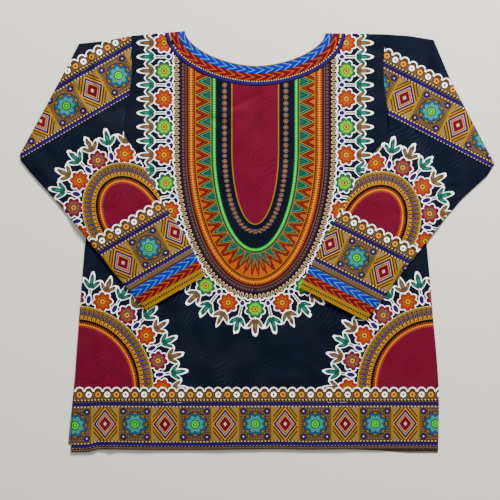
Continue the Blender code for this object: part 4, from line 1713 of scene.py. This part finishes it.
floor_mesh = bpy.data.meshes.new("floor")
floor_mesh.from_pydata(FLOOR_CORNERS, [], [(0, 1, 2, 3)])
floor = bpy.data.objects.new("floor", floor_mesh)
floor.location.z = -FLOOR_DROP
bpy.context.scene.collection.objects.link(floor)
floor_material = bpy.data.materials.new("floor_paint")
floor_material.use_nodes = True
floor_shader = floor_material.node_tree.nodes["Principled BSDF"]
floor_shader.inputs["Base Color"].default_value = FLOOR_PAINT
floor_shader.inputs["Roughness"].default_value = 0.85
floor_mesh.materials.append(floor_material)

# ------------------------------------------------------------------ the shirt

body_cotton = cotton("printed_cotton_body", body_print)
hem_cotton = cotton("printed_cotton_hem", hem_print)
sleeve_cotton = cotton("printed_cotton_sleeves", sleeve_print)
prints = (body_cotton, hem_cotton)
front = body_piece("front_cloth", body_grid(FRONT_HEM, 0.0), front_heights, True, prints)
back = body_piece("back_cloth", body_grid(BACK_HEM, BACK_PEEK), back_heights, False, prints)
left_rings = sleeve_rings(LEFT_SLEEVE, -1, LEFT_SLEEVE_FOLDS, LEFT_SLEEVE_CREASES)
right_rings = sleeve_rings(RIGHT_SLEEVE, 1, RIGHT_SLEEVE_FOLDS, RIGHT_SLEEVE_CREASES)
left_sleeve = make_sleeve("left_sleeve_cloth", -1, left_rings, sleeve_cotton)
right_sleeve = make_sleeve("right_sleeve_cloth", 1, right_rings, sleeve_cotton)

thread = sewing_thread("dark_thread")
front_sewing = body_sewing("front_stitches", FRONT_HEM, front_heights, 1)
back_sewing = body_sewing("back_stitches", BACK_HEM, back_heights, -1)
left_sewing = cuff_sewing("left_cuff_stitches", left_rings)
right_sewing = cuff_sewing("right_cuff_stitches", right_rings)

Cut = namedtuple("Cut", "piece sewing node width length area rests_on")
CUTS = (
    Cut(back, back_sewing, "back", 0.67, 0.76, 0.430, floor),
    Cut(front, front_sewing, "front", 0.66, 0.76, 0.424, back),
    Cut(left_sleeve, left_sewing, "sleeve_left", 0.34, 0.56, 0.147, front),
    Cut(right_sleeve, right_sewing, "sleeve_right", 0.34, 0.58, 0.160, front),
)
for cut in CUTS:
    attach(cut.piece, "root")
    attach(cut.sewing, "root")
    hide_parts(cut.node)

# ------------------------------------------------------------------ the light and the camera


def soft_light(name, position, size, power):
    """A round lamp that faces the middle of the shirt."""
    light = bpy.data.lights.new(name, "AREA")
    light.shape = "DISK"
    light.size = size
    light.energy = power
    made = bpy.data.objects.new(name, light)
    made.location = position
    made.rotation_euler = (-Vector(position)).to_track_quat("-Z", "Y").to_euler()
    bpy.context.scene.collection.objects.link(made)
    return made


soft_light("window_light", position=(1.0, 2.8, 1.55), size=0.9, power=430.0)
world = bpy.data.worlds.new("studio")
world.use_nodes = True
world.node_tree.nodes["Background"].inputs["Color"].default_value = (0.94, 0.97, 1.0, 1.0)
world.node_tree.nodes["Background"].inputs["Strength"].default_value = 0.62
bpy.context.scene.world = world

CAMERA_HEIGHT = 3.2
VIEW_WIDTH = 0.9  # how much of the floor's width the camera sees
VIEW_X, VIEW_Y = -0.0133, -0.0147  # the middle of what it sees
camera_data = bpy.data.cameras.new("camera")
camera_data.sensor_width = 36.0
camera_data.lens = camera_data.sensor_width * CAMERA_HEIGHT / VIEW_WIDTH
camera = bpy.data.objects.new("camera", camera_data)
camera.location = (VIEW_X, VIEW_Y, CAMERA_HEIGHT)
bpy.context.scene.collection.objects.link(camera)
bpy.context.scene.camera = camera
